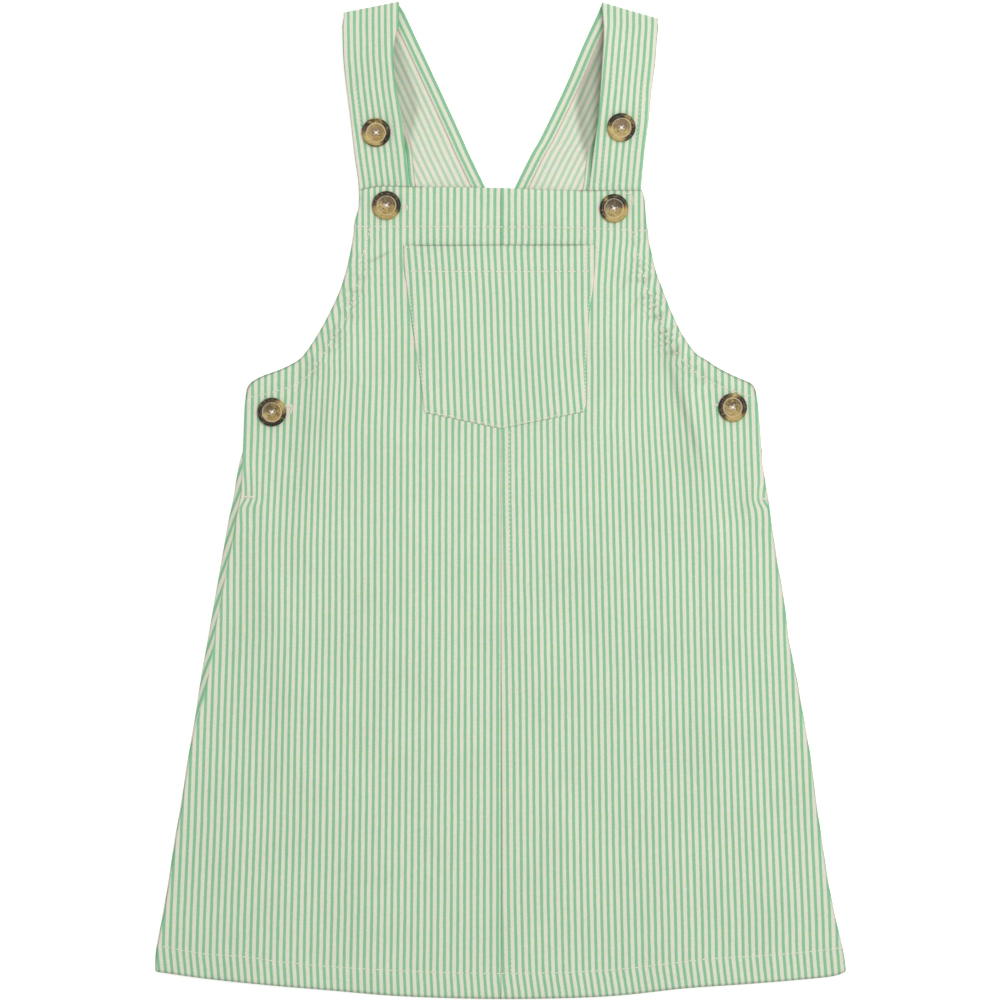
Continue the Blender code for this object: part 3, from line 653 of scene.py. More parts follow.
# Creases darkened with painted shade: their line, how dark, and half-width.
SHADED = {
    "left": [
        ([(-83.3, 146.7), (-76.6, 148.8), (-64.9, 154.7)], 0.36, 0.75),
        ([(-95, 131.3), (-89.5, 129.5), (-82.7, 129.2)], 0.26, 0.8),
        ([(-103.6, 95.6), (-106.1, 74.1), (-109.2, 43.4), (-112.2, 12.6)], 0.13, 3),
        ([(-151, 18.8), (-146.1, 8.9), (-142.4, -7.1)], 0.08, 1.6),
    ],
    "right": [
        ([(98.7, 103.6), (103.6, 85.2), (109.8, 65.5), (117.2, 44.6), (123.3, 23.7), (127, 5.2)], 0.26, 2.3),
        ([(92.6, 123.3), (98.7, 107.3), (106.1, 92.6), (112.9, 75.3)], 0.13, 2.2),
        ([(82.7, 146.7), (77.8, 135.6), (69.2, 123.3)], 0.12, 1.1),
        ([(90.1, 129.5), (83.9, 120.8), (75.3, 108.5)], 0.12, 1.1),
        ([(155.3, 13.8), (152.8, 4), (148.5, -12)], 0.08, 1.6),
    ],
}
# Stripes followed down the cloth: their count from the centre front, and where they run.
FOLLOWED = {
    "left": {
        0: [(1.1, 192.8), (0.7, 157.1), (-0.7, 92.6), (-1.3, 43.4), (-1.4, -61.2), (-1.5, -307.2)],
        -18: [
            (-73.5, 192.8), (-73.5, 162.7), (-72.9, 133.1), (-72, 103.6), (-72, 74.1), (-72.7, 44.6),
            (-72.9, -14.5), (-73, -73.5), (-73.5, -132.5), (-74, -191.6), (-74.7, -250.6), (-75.6, -301),
        ],
        -24: [
            (-95.3, 123.3), (-95.3, 104.9), (-95, 75.3), (-96.5, 45.8), (-96.9, -13.2), (-97, -72.3),
            (-97.7, -131.3), (-98.2, -190.3), (-99.2, -249.4), (-100.4, -301),
        ],
        -31: [
            (-118.7, 80.3), (-119.6, 61.8), (-121.2, 32.3), (-122.8, 2.8), (-124, -26.8), (-124.6, -85.8),
            (-126, -144.8), (-126.9, -203.9), (-128.4, -262.9), (-129.1, -301),
        ],
        -36: [
            (-140.2, 68), (-140.9, 37.2), (-142.3, 7.7), (-143.5, -21.8), (-143.6, -80.9), (-145.3, -139.9),
            (-146.7, -199), (-148.8, -258), (-149.9, -301),
        ],
    },
    "right": {
        0: [
            (1.5, 192.8), (1.5, 157.1), (1.9, 92.6), (2, 43.4), (2.3, 0.3), (3.3, -61.2), (4.3, -122.7),
            (5.1, -245.7), (5.9, -282.6), (6.5, -301),
        ],
        18: [
            (74.5, 192.8), (74.5, 162.7), (72.4, 133.1), (72.1, 103.6), (72.3, 74.1), (72.1, 44.6), (73, 15.1),
            (74.6, -44), (76.2, -103), (77.1, -162.1), (78.1, -221.1), (79.6, -280.1), (80.1, -301),
        ],
        30: [
            (118.4, 141.8), (117.5, 123.3), (116, 98.7), (116, 89.5), (116.2, 68), (118.4, 43.4), (119.4, 31.1),
            (120.8, 15.7), (121.6, 0.3), (122.7, -26.8), (123.8, -85.8), (125.2, -144.8), (126.9, -203.9),
            (128.7, -262.9), (129.3, -301),
        ],
        37: [
            (145, 77.2), (145.3, 68), (146.2, 43.4), (146.6, 31.1), (147.2, 15.7), (148.3, 0.3), (149.7, -13.2),
            (150.2, -26.8), (150.9, -80.9), (153, -139.9), (155, -199), (157.4, -258), (158.4, -301),
        ],
    },
}
OUTER_PITCH = [(-306, 4.15), (-245, 4.12), (-120, 4.02), (-10, 3.95), (60, 3.98), (160, 4.1), (195, 4.1)]
BAR_TACK = {"left": (-155.3, 2.5), "right": (162.4, 1.2)}


def height_at(points, x):
    """The y of the curve through the points, at each of these x."""
    return at_widths(points, x.ravel())[:, 1].reshape(x.shape)


def distance_to(x, y, points):
    """How far each place is from a line, and how far along it the nearest point lies, from 0 to 1."""
    line = smooth_path(points, 30)
    best = np.full(x.shape, 1e9)
    share = np.zeros(x.shape)
    for step, (start, end) in enumerate(zip(line, line[1:])):
        run = end - start
        t = np.clip(((x - start[0]) * run[0] + (y - start[1]) * run[1]) / (run @ run), 0, 1)
        away = np.hypot(x - start[0] - t * run[0], y - start[1] - t * run[1])
        nearer = away < best
        best = np.where(nearer, away, best)
        share = np.where(nearer, (step + t) / 30, share)
    return best, share


def outside(x, y, outline):
    """How far each place lies outside a closed outline, and 0 within it."""
    start = np.array(outline)
    end = np.roll(start, -1, axis=0)
    best = np.full(x.shape, 1e9)
    crossings = np.zeros(x.shape, int)
    for (ax, ay), (bx, by) in zip(start, end):
        run = np.array([bx - ax, by - ay])
        t = np.clip(((x - ax) * run[0] + (y - ay) * run[1]) / (run @ run), 0, 1)
        best = np.minimum(best, np.hypot(x - ax - t * run[0], y - ay - t * run[1]))
        if ay != by:
            crossings += ((ay > y) != (by > y)) & (x < ax + (y - ay) * (bx - ax) / (by - ay))
    return np.where(crossings % 2 == 1, 0.0, best)


def layer_below():
    """Outlines of what lies under the fronts: the back, and both halves of each strap."""
    left = [(-half, y) for half, y in BACK_ARMHOLE] + BACK_SIDE_LEFT
    right = BACK_ARMHOLE + BACK_SIDE_RIGHT
    outlines = [left + HEM[1:-1] + right[::-1]]
    for table in STRAPS.values():
        for rows in (table["back"], table["front"][-4:]):
            outlines.append([row[:2] for row in rows] + [row[2:] for row in rows[::-1]])
    return outlines


def front_height(x, y):
    """Top of the fronts: level on what lies below, down to the table past it, with folds and rumples."""
    level = np.zeros(x.shape)
    for outline in layer_below():
        level = np.maximum(level, ease((CLEAR_OF_EDGE + DRAPE - outside(x, y, outline)) / DRAPE))
    height = SECOND_TOP - (1 - level) * SINK
    for points, tall, spread in FOLDS:
        away, share = distance_to(x, y, points)
        height += tall * np.sin(math.pi * np.clip(share, 0.03, 0.97)) ** 0.6 * bell(away, spread)
    rumple = (
        np.sin(x / 17.0 + 1.3 * np.sin(y / 41.0)) * np.sin(y / 53.0 + 0.8 * np.sin(x / 29.0))
        + 0.5 * np.sin(x / 9.3 + y / 37.0 + 1.1) * np.sin(y / 23.0 - x / 31.0)
    )
    height += 0.22 * (1 + rumple)
    return height


def rounded(away):
    """How far the cloth drops at this distance from its edge, where it rounds off."""
    return EDGE_DROP * (1 - np.sqrt(1 - (1 - np.clip(away / EDGE_ROUND, 0, 1)) ** 2))


def puckers(x, y, side):
    """The small wrinkles that the stitching draws up across each armhole, deeper at the right one."""
    away, share = distance_to(x, y, ARMHOLE_LINES[side])
    depth = PUCKER_DEPTH[side] * np.sin(math.pi * np.clip(share * 1.15, 0, 1)) ** 0.5
    return depth * bell(away, PUCKER_REACH) * np.sin(share * 146 + 3.1 * np.sin(share * 37) + away * 0.2)


def front_seams(x, y, side):
    """Relief of the sewing: facing, turned edges and hem stand a little proud, and each seam puckers."""
    relief = np.zeros(x.shape)
    facing = height_at(FACING_LINE, x)
    relief += 0.40 * ease((y - facing + 0.5) / 1.4)
    hem = height_at(HEM_LINE, x)
    relief += 0.45 * ease((hem - y + 0.5) / 1.6)
    armhole, _ = distance_to(x, y, ARMHOLE_LINES[side])
    lines = [np.abs(y - facing), np.abs(y - hem), armhole]
    edge, _ = distance_to(x, y, [row for row in OUTER[side] if row[1] > 55])
    relief += 0.35 * ease((9.5 - edge) / 1.5) * (y > 60)
    seam = np.abs(x - CENTRE)
    relief -= 0.22 * bell(seam, 0.8)
    if side == "right":
        centre_x, centre_y = np.array(CENTRE_LINE[::-1]).T
        centre = np.interp(y, centre_y, centre_x)
        relief += 0.28 * (1 - ease((x - centre - 0.2) / 1.0))
        lines.append(np.abs(x - centre))
    for away in lines:
        relief -= 0.16 * bell(away, 0.8)
        relief += 0.14 * bell(away, 3.4) * np.sin((x + 0.7 * y) * 1.55 + 2.0 * np.sin((x - y) / 7.0))
    return relief + puckers(x, y, side)


def stripes_between(x, y, lines, pitch):
    """Counts the stripes across a piece, between the ones that are followed."""
    keys = sorted(lines)
    followed = []
    for key in keys:
        line = np.array(lines[key])[::-1]
        followed.append(np.interp(y, line[:, 1], line[:, 0]))
    count = keys[0] + (x - followed[0]) / pitch
    for low, high, low_x, high_x in zip(keys, keys[1:], followed, followed[1:]):
        count = np.where(x >= low_x, low + (x - low_x) / (high_x - low_x) * (high - low), count)
    return np.where(x >= followed[-1], keys[-1] + (x - followed[-1]) / pitch, count) + 0.5


def panel_stripes(x, y, side):
    """The stripes run down each panel, and step aside below the bar tack that ends the side opening."""
    tack_x, tack_y = BAR_TACK[side]
    below = tack_y - y
    outwards = -1 if side == "left" else 1
    swing = 2.8 * ease(below / 7.0) - 2.1 * ease(1 + below / TACK_LEAD[side]) - 0.7 * ease((below - 8.0) / 14.0)
    swing *= bell(x - tack_x - outwards * 2.4, 9.0)
    armhole, share = distance_to(x, y, [row for row in OUTER[side] if 84 < row[1] < 160])
    middle = np.sin(math.pi * np.clip(share, 0.0, 1.0)) ** 0.5
    swing += ARMHOLE_LEAN[side] * middle * bell(armhole, 4.0)
    pitch = np.interp(y, *np.array(OUTER_PITCH, float).T)
    hem = height_at(HEM_LINE, x)
    drawn = 0.75 * puckers(x, y, side) - (0.095 + 0.04 * np.sin(x / 45.0)) * np.clip(hem - y, 0, 20)
    return stripes_between(x + drawn - outwards * swing, y, FOLLOWED[side], pitch)


skirt_y = np.linspace(HEM_CORNER_Y, SIDE_OPENING_Y, 196)[:-1]
chest_y = np.linspace(SIDE_OPENING_Y, CHEST_Y, 44)[:-1]
rows_y = np.r_[skirt_y, chest_y, np.linspace(CHEST_Y, 190.0, 66), 190.6, 191.0, BIB_CORNER_Y]
panel_u = np.r_[0, 0.0015, 0.004, 0.008, np.linspace(0.016, 1 - 0.008, PANEL_COLUMNS - 6), 1 - 0.004, 1]
fronts = {}
for side, outer_table in OUTER.items():
    outer = at_heights(outer_table, rows_y)
    hem_ends = at_widths(HEM, np.array([outer[0, 0], CENTRE]))[:, 1]
    bib_ends = at_widths(BIB_TOP, np.array([outer[-1, 0], CENTRE]))[:, 1]
    low = ((outer[-1, 1] - rows_y) / (outer[-1, 1] - rows_y[0])) ** 4
    high = ((rows_y - rows_y[0]) / (outer[-1, 1] - rows_y[0])) ** 10
    outer[:, 1] += (hem_ends[0] - outer[0, 1]) * low + (bib_ends[0] - outer[-1, 1]) * high
    seam_y = rows_y + (hem_ends[1] - rows_y[0]) * low + (bib_ends[1] - rows_y[-1]) * high
    seam = np.column_stack([np.full(len(rows_y), CENTRE), seam_y])
    foot = at_widths(HEM, outer[0, 0] + panel_u * (CENTRE - outer[0, 0]))
    bib_edge = at_widths(BIB_TOP, outer[-1, 0] + panel_u * (CENTRE - outer[-1, 0]))
    foot[0], foot[-1], bib_edge[0], bib_edge[-1] = outer[0], seam[0], outer[-1], seam[-1]
    v = (rows_y - rows_y[0]) / (rows_y[-1] - rows_y[0])
    flat = stretched(foot, bib_edge, outer, seam, panel_u, v)
    x, y = flat[..., 0], flat[..., 1]
    height = front_height(x, y) + front_seams(x, y, side)
    from_edge = np.abs(x - outer[:, :1]) * np.where(y > 70, 0.75, 1.0)
    from_hem = y - foot[None, :, 1]
    from_bib = bib_edge[None, :, 1] - y
    for away in (from_edge, from_hem, from_bib):
        height -= rounded(away)
    places = np.dstack([flat, np.maximum(height, FRONT_THICKNESS + 0.1)])
    # painted shade along the edges, hem, bib top over the straps, centre seam, underarm, puckers and creases
    painted_shade = 0.42 * bell(from_edge, 0.45) + 0.30 * bell(from_hem, 0.5)
    painted_shade += 0.62 * bell(from_bib, 0.55) * ease((np.abs(x) - 46) / 3)
    painted_shade += 0.07 * bell(x - CENTRE, 0.45)
    underarm, _ = distance_to(x, y, [row for row in outer_table if 62 < row[1] < 190])
    painted_shade = np.maximum(painted_shade, (0.40 + 0.38 * ease((100 - y) / 20)) * bell(underarm, 0.9))
    painted_shade += 0.34 * np.clip(-puckers(x, y, side) / 0.5, 0, 1) ** 2
    for points, depth, spread in SHADED[side]:
        away, share = distance_to(x, y, points)
        painted_shade += depth * np.sin(math.pi * np.clip(share, 0.02, 0.98)) * bell(away, spread)
    if side == "right":
        places, painted_shade = places[:, ::-1], painted_shade[:, ::-1]
    stripes = panel_stripes(places[..., 0], places[..., 1], side)
    front = woven(
        f"front_{side}_cloth",
        places,
        stripes,
        FRONT_THICKNESS,
        [striped_denim, denim_wrong_side],
        {"painted_shade": np.clip(painted_shade, 0, DARKEST_PAINTED_SHADE)},
    )
    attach(front, "root")
    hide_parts(f"front_{side}")
    fronts[side] = front

# ---- Pocket -------------------------------------------------------------------------------------
# A patch of the same denim, its top edge turned in and stitched across, sewn on over the centre
# seam along its sides and its pointed foot. Its stripes lean a little.
POCKET_LEFT = [
    (-46.7, 54.4), (-48.3, 68.6), (-50.9, 86.4), (-53.8, 105.2), (-56.9, 128.8), (-58.9, 141.1), (-59.3, 157.4),
]
POCKET_RIGHT = [
    (51.7, 54.8), (53.6, 64.9), (53.2, 86.4), (55, 114.7), (57.5, 133.1), (58.4, 144.8), (58.4, 157.7),
]
POCKET_POINT = (0.9, 44.3)
POCKET_HEM = [(-58.7, 141.4), (-30.4, 141.1), (0.3, 141), (31.1, 141), (58.1, 141.4)]
POCKET_STRIPES = {
    -11: [
        (-44.3, 157.7), (-43.7, 150.4), (-42.6, 135.6), (-41.9, 120.8), (-41.3, 106.1), (-40.9, 91.3),
        (-40.6, 76.6), (-40.2, 61.8), (-39.4, 43.4),
    ],
    0: [
        (0.7, 157.7), (1, 150.4), (1.8, 135.6), (2.5, 120.8), (2.8, 106.1), (3.3, 91.3), (4, 76.6), (4.7, 61.8),
        (5.7, 43.4),
    ],
    10: [
        (42.1, 157.7), (42.1, 150.4), (42.3, 135.6), (42.4, 120.8), (42.9, 106.1), (43.4, 91.3), (44.3, 76.6),
        (45.5, 61.8), (46.8, 43.4),
    ],
}
POCKET_PITCH = 4.09
POCKET_THICKNESS = 0.6
POCKET_CELLS = 84

pocket_u = np.r_[0, 0.003, 0.008, np.linspace(0.016, 0.984, POCKET_CELLS - 5), 0.992, 0.997, 1]
pocket_v = np.r_[0, 0.003, 0.007, np.linspace(0.014, 0.988, POCKET_CELLS - 5), 0.993, 0.997, 1]
pocket_left = smooth_path(POCKET_LEFT, 1000)[np.round(pocket_v * 1000).astype(int)]
pocket_right = smooth_path(POCKET_RIGHT, 1000)[np.round(pocket_v * 1000).astype(int)]
pocket_x = pocket_left[0, 0] + pocket_u * (pocket_right[0, 0] - pocket_left[0, 0])
foot_x, foot_y = np.array([pocket_left[0], POCKET_POINT, pocket_right[0]]).T
pocket_foot = np.column_stack([pocket_x, np.interp(pocket_x, foot_x, foot_y)])
pocket_top = pocket_left[-1] + pocket_u[:, None] * (pocket_right[-1] - pocket_left[-1])
pocket_flat = stretched(pocket_foot, pocket_top, pocket_left, pocket_right, pocket_u, pocket_v)
x, y = pocket_flat[..., 0], pocket_flat[..., 1]
from_side = np.minimum(x - pocket_left[:, None, 0], pocket_right[:, None, 0] - x)
from_foot = y - pocket_foot[None, :, 1]
from_top = pocket_top[None, :, 1] - y
hem_y = height_at(POCKET_HEM, x)
edge = np.minimum(from_side, from_foot)
pocket_height = front_height(x, y) + POCKET_THICKNESS + 0.25 - 0.35 * bell(edge, 2.0)
turned_in = 0.18 * ease((7.0 - edge) / 1.4) + 0.35 * ease((y - hem_y + 0.4) / 1.3)
pocket_height += turned_in + 0.5 * ease((6.0 - from_top) / 6.0)
for away in (edge - 1.3, y - hem_y):
    pocket_height -= 0.14 * bell(away, 0.7)
    pocket_height += 0.09 * bell(away, 3.0) * np.sin((x + 0.8 * y) * 1.6)
for away in (from_side, from_foot, from_top):
    pocket_height -= rounded(away)
# painted shade along the pocket's sides and foot, and a painted shadow along its gaping top edge
pocket_painted_shade = 0.03 * bell(from_side, 0.4) + 0.10 * bell(from_foot, 0.45)
gape_shade = ease((np.abs(x - 0.5) - 8) / 18) * 0.22 + 0.62 + 0.1 * np.sin(x * 0.55) * np.sin(x * 0.21 + 1)
pocket_painted_shade += gape_shade * bell(from_top, 0.62) * ease((53.5 - np.abs(x + 0.3)) / 3)
pocket = woven(
    "pocket_cloth",
    np.dstack([pocket_flat, pocket_height]),
    stripes_between(x, y, POCKET_STRIPES, POCKET_PITCH),
    POCKET_THICKNESS,
    [striped_denim, denim_wrong_side],
    {"painted_shade": np.clip(pocket_painted_shade, 0, DARKEST_PAINTED_SHADE)},
)
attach(pocket, "root")
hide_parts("pocket")

# ---- Topstitching -------------------------------------------------------------------------------
# Cream cotton thread, about nine stitches an inch, which shows where it crosses the green. All the
# stitches of a seam are one piece, and each lies on the cloth that it is sewn through.
STITCH_EVERY = 2.75
STITCH_LONG = 2.35
THREAD_WIDE = 0.58
THREAD_THICK = 0.26
THREAD_STANDS = 0.10
STEEPEST = 0.45  # the most that a stitch tilts with the cloth
LOOK_FROM = 0.05  # the cloth's height is looked up from here, in metres
DOWN = Vector((0, 0, -1))


def cotton_thread(name, colour):
    """Matt twisted cotton, a little lighter and darker along its fibres."""
    material, surface = painted(name)
    dye = Dye(material.node_tree)
    fibre = dye.noise(dye.make("ShaderNodeTexCoord", None, None, 3), 2600.0, 2.0)
    dye.vector("SCALE", {0: colour, "Scale": fibre * 0.3 + 0.85}).into(surface, "Base Color")
    twist = dye.make("ShaderNodeBump", None, {"Height": fibre, "Strength": 0.5, "Distance": 0.0001})
    twist.into(surface, "Normal")
    surface.inputs["Roughness"].default_value = 0.8
    surface.inputs["Specular IOR Level"].default_value = 0.2
    return material


cream_thread = cotton_thread("cream_thread", (0.78, 0.725, 0.63))


def sewn(name, lines, cloths, every=STITCH_EVERY, long=STITCH_LONG, wide=THREAD_WIDE, crosswise=False):
    """Stitches of thread along lines, on the topmost of these cloths, all joined as one piece."""
    graph = bpy.context.evaluated_depsgraph_get()
    trees = [BVHTree.FromObject(cloth, graph) for cloth in cloths]
    thread = bmesh.new()
    for points in lines:
        points = np.array(points, float)
        length = np.linalg.norm(np.diff(points, axis=0), axis=1).sum()
        path = smooth_path(points, max(1, round(length / every)))
        for number, (start, end) in enumerate(zip(path, path[1:])):
            middle = (start + end) / 2
            run = (end - start) / np.linalg.norm(end - start)
            if crosswise:
                run = np.array([-run[1], run[0]])
            heights = []
            for share in (0.0, -0.5, 0.5):
                spot = (middle + run * long * share) * MM
                hits = [tree.ray_cast(Vector((*spot, LOOK_FROM)), DOWN)[0] for tree in trees]
                off_cloth = heights[0] if heights else 0.3
                heights.append(max([hit.z / MM for hit in hits if hit], default=off_cloth))
            slope = np.clip(math.atan2(heights[2] - heights[1], long), -STEEPEST, STEEPEST)
            wobble = 0.05 * math.sin(number * 2.4)
            turn = Matrix.Rotation(math.atan2(run[1], run[0]) + wobble, 4, "Z")
            lie = Matrix.Translation(Vector((*middle, heights[0] + THREAD_STANDS)) * MM) @ turn
            size = Matrix.Diagonal((long / 2 * MM, wide / 2 * MM, THREAD_THICK * MM, 1))
            stitch = lie @ Matrix.Rotation(-slope, 4, "Y") @ size
            bmesh.ops.create_uvsphere(thread, u_segments=8, v_segments=4, radius=1, matrix=stitch)
    mesh = as_mesh(name, thread)
    mesh.materials.append(cream_thread)
    mesh.shade_smooth()
    piece = placed(name, mesh)
    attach(piece, "root")


both_fronts = list(fronts.values())
sewn("bib_facing_stitching", [FACING_LINE], both_fronts)
sewn("armhole_stitching", list(ARMHOLE_LINES.values()), both_fronts)
sewn("hem_stitching", [HEM_LINE], both_fronts)
sewn("centre_front_stitching", [CENTRE_LINE], both_fronts, long=1.9)
sewn("pocket_hem_stitching", [POCKET_HEM], [pocket])
sewn(
    "pocket_edge_stitching",
    [
        [
            (-58.2, 156.2), (-57.9, 141.1), (-55.8, 128.8), (-52.8, 105.2), (-49.9, 86.4), (-47.2, 68.6),
            (-45.7, 55.3),
        ],
        [(57.3, 156.2), (57.3, 144.8), (56.4, 133.1), (54, 114.7), (52.2, 86.4), (52.5, 64.9), (50.9, 55.8)],
        [(-45.7, 55.3), (-22.4, 50.5), (0.9, 45.6)],
        [(0.9, 45.6), (25.5, 50.5), (50.9, 55.8)],
        [(-54.3, 155.9), (-54.1, 141.8)],
        [(53.6, 155.9), (53.3, 141.8)],
        [(-58.2, 155.9), (-54.3, 155.9)],
        [(53.6, 155.9), (57.3, 155.9)],
    ],
    [pocket],
    every=2.3,
    long=1.75,
)
for side, table in STRAPS.items():
    inwards = 1 if side == "left" else -1
    lines = [
        [(row[0] + inwards * 6.2, row[1]) for row in table["front"][:8]],
        [(row[2] - inwards * 6.2, row[3]) for row in table["front"][2:8]],
        [(row[2] - inwards * 7.1, row[3]) for row in table["back"][2:-1]],
        [(row[0] + inwards * 6.9, row[1]) for row in table["back"][2:4]],
    ]
    sewn(f"strap_stitching_{side}", lines, [straps[side]], long=1.6, wide=0.32)

# ---- Buttonholes and bar tacks ------------------------------------------------------------------
# Close satin stitches in the same thread bind the end of each buttonhole beside its button, and a bar
# tack closes the foot of each side opening. A few loose ends stick out at the bib's corners.
BOUND = {
    "buttonhole_bib_left": ([[(-61.2, 180.5), (-56.6, 180.5)], [(-57.3, 182.3), (-57.3, 178.7)]], 1.1, 0.4),
    "buttonhole_bib_right": ([[(76.6, 189.1), (80, 188.7), (81.5, 186.3), (81.6, 182.3)]], 1.1, 0.4),
    "buttonhole_side_left": (
        [[(-132.2, 58.5), (-128.5, 58.7)], [(-128.5, 59.3), (-128.2, 56.6), (-129, 53.8)]], 1.7, 0.5
    ),
    "buttonhole_side_right": ([[(135, 59), (131.2, 59.2)]], 1.9, 0.5),
    "bar_tack_left": ([[(-159.2, 2.6), (-151.4, 2.3)]], 1.5, 0.5),
    "bar_tack_right": ([[(160.2, 1.3), (164.1, 1)]], 1.5, 0.5),
}
for name, (lines, long, wide) in BOUND.items():
    sewn(name, lines, [*both_fronts, back], 0.5, long, wide, crosswise=True)
sewn(
    "thread_ends",
    [
        [(-87.3, 168.3), (-88.6, 169.2), (-89.1, 170.4)],
        [(-87, 168), (-88.4, 167.8), (-89, 166.6)],
        [(88.6, 166.2), (89.6, 166.8), (90.3, 165.9)],
    ],
    both_fronts,
    every=0.8,
    long=1.1,
    wide=0.3,
)

# ---- Buttons ------------------------------------------------------------------------------------
# Four-hole buttons of polished horn, 28 lines across, with a raised rim, an engraved ring and a dished
# middle. No two are marked alike. Each is sewn on with a cross of white thread.
BUTTON_PROFILE = [
    (0, 1.80), (1.6, 1.83), (3.2, 1.93), (4.5, 2.14), (5.3, 2.42), (5.62, 2.52), (5.78, 2.36), (5.94, 2.36),
    (6.1, 2.62), (6.5, 2.88), (7, 3.05), (7.5, 3.08), (8, 2.92), (8.4, 2.55), (8.7, 2.05), (8.87, 1.5),
    (8.75, 1), (8.3, 0.5), (7.4, 0.16), (0, 0),
]
BUTTON_SIDES = 64
HOLE_RADIUS = 0.6
HOLE_SPREAD = (1.9, 1.55)
HOLES = [(x * HOLE_SPREAD[0], y * HOLE_SPREAD[1]) for x in (-1, 1) for y in (-1, 1)]
BUTTON_RADIUS = 8.9
DISH_RADIUS = 5.6
RING_RADIUS = 5.86
SEAT_REACH = 7.4  # the button rests on the cloth this far out
# Where each lies, its turn, its dark arcs, and how grey the upper half of its middle is. An arc is its
# middle in degrees, its half-width, its inner and outer radius as shares of the button's, and its depth.
BUTTONS = {
    "strap_button_left": (
        (-76, 226.6), 4,
        [
            (150, 32, 0.68, 1.1, 0.8), (100, 30, 0.72, 0.95, 0.5), (0, 62, 0.68, 1.1, 1),
            (-80, 60, 0.9, 1.1, 0.5),
        ],
        0.75,
    ),
    "strap_button_right": (
        (74.4, 229.7), 3,
        [
            (118, 48, 0.64, 1.1, 1), (-28, 48, 0.68, 1.1, 0.95), (30, 30, 0.74, 1, 0.55),
            (90, 85, 0.1, 0.62, 0.24),
        ],
        0.8,
    ),
    "bib_button_left": (
        (-69.8, 181.7), 10,
        [
            (95, 42, 0.62, 1.1, 0.9), (150, 30, 0.66, 1.1, 0.8), (15, 45, 0.66, 1.1, 1),
            (75, 75, 0.1, 0.62, 0.42),
        ],
        0.35,
    ),
    "bib_button_right": (
        (70.1, 179.9), -20,
        [
            (70, 52, 0.6, 1.1, 1), (180, 42, 0.64, 1.1, 0.95), (95, 85, 0.05, 0.62, 0.55),
            (30, 20, 0.4, 1.1, 0.7),
        ],
        0.3,
    ),
    "side_button_left": (
        (-140.2, 54.7), 12,
        [
            (105, 44, 0.62, 1.1, 0.9), (190, 46, 0.68, 1.1, 1), (-70, 75, 0.72, 1.1, 1),
            (110, 80, 0.1, 0.62, 0.34), (-90, 100, 0.1, 0.62, 0.10),
        ],
        0.2,
    ),
    "side_button_right": (
        (143, 57.5), 16,
        [
            (178, 52, 0.66, 1.1, 0.95), (18, 46, 0.66, 1.1, 1), (130, 30, 0.68, 1.1, 0.7),
            (80, 80, 0.1, 0.62, 0.30),
        ],
        0.25,
    ),
}

HORN_STOPS = [
    (0, (0.45, 0.335, 0.108, 1)),
    (0.25, (0.29, 0.205, 0.062, 1)),
    (0.55, (0.125, 0.087, 0.032, 1)),
    (0.9, (0.022, 0.015, 0.010, 1)),
]
UPPER_MIDDLE_GREY = (0.225, 0.160, 0.110, 1)
RING_PALE = (0.72, 0.66, 0.57, 1)

horn, horn_surface = painted("polished_horn")
dye = Dye(horn.node_tree)
place = dye.make("ShaderNodeTexCoord", None, None, 3)
streak = dye.noise(place, 330.0, 4.0, Distortion=1.4)
mottle = dye.noise(place, 1500.0, 3.0)
dark, ring, grey = (dye.attribute(name) for name in ("dark", "ring", "grey"))
marks = (streak - 0.5) * 2.2 * (0.32 + dark) + (mottle - 0.5) * 1.1 * (0.25 + dark)
amount = dye.make("ShaderNodeClamp", None, {"Value": dark * 0.95 + 0.08 + marks})
shade = dye.make("ShaderNodeValToRGB", {"stops": HORN_STOPS}, {"Fac": amount})
upper_greying = dye.make("ShaderNodeClamp", None, {"Value": grey * (0.75 + (streak - 0.5) * 1.8)})
shade = dye.mix(upper_greying, shade, UPPER_MIDDLE_GREY)
shade = dye.mix(ring * (0.5 + streak * 0.5), shade, RING_PALE)
shade.into(horn_surface, "Base Color")
scratch = dye.make("ShaderNodeBump", None, {"Height": streak, "Strength": 0.12, "Distance": 0.0002})
scratch.into(horn_surface, "Normal")
(0.42 + (mottle - 0.5) * 0.14).into(horn_surface, "Roughness")
horn_surface.inputs["Specular IOR Level"].default_value = 0.2
horn_surface.inputs["Coat Weight"].default_value = 0.1
horn_surface.inputs["Coat Roughness"].default_value = 0.28

turned = bmesh.new()
edge_places = [turned.verts.new((radius * MM, 0, height * MM)) for radius, height in BUTTON_PROFILE]
edges = [turned.edges.new(pair) for pair in zip(edge_places, edge_places[1:])]
bmesh.ops.spin(
    turned, geom=edge_places + edges, cent=(0, 0, 0), axis=(0, 0, 1), dvec=(0, 0, 0),
    angle=2 * math.pi, steps=BUTTON_SIDES, use_merge=True, use_duplicate=False,
)
bmesh.ops.remove_doubles(turned, verts=turned.verts, dist=0.00001)
bmesh.ops.recalc_face_normals(turned, faces=turned.faces)
blank = placed("button_blank", as_mesh("button_blank", turned))
drills = bmesh.new()
for hole in HOLES:
    bmesh.ops.create_cone(
        drills, cap_ends=True, segments=20, radius1=HOLE_RADIUS * MM, radius2=HOLE_RADIUS * MM, depth=12 * MM,
        matrix=Matrix.Translation((hole[0] * MM, hole[1] * MM, 0)),
    )
drill = placed("button_drills", as_mesh("button_drills", drills))
cut = blank.modifiers.new("holes", "BOOLEAN")
cut.operation = "DIFFERENCE"
cut.solver = "EXACT"
cut.object = drill
drilled = bpy.data.meshes.new_from_object(blank.evaluated_get(bpy.context.evaluated_depsgraph_get()))
bpy.data.objects.remove(blank)
bpy.data.objects.remove(drill)

graph = bpy.context.evaluated_depsgraph_get()
cloth_below = [BVHTree.FromObject(cloth, graph) for cloth in (*both_fronts, *straps.values())]


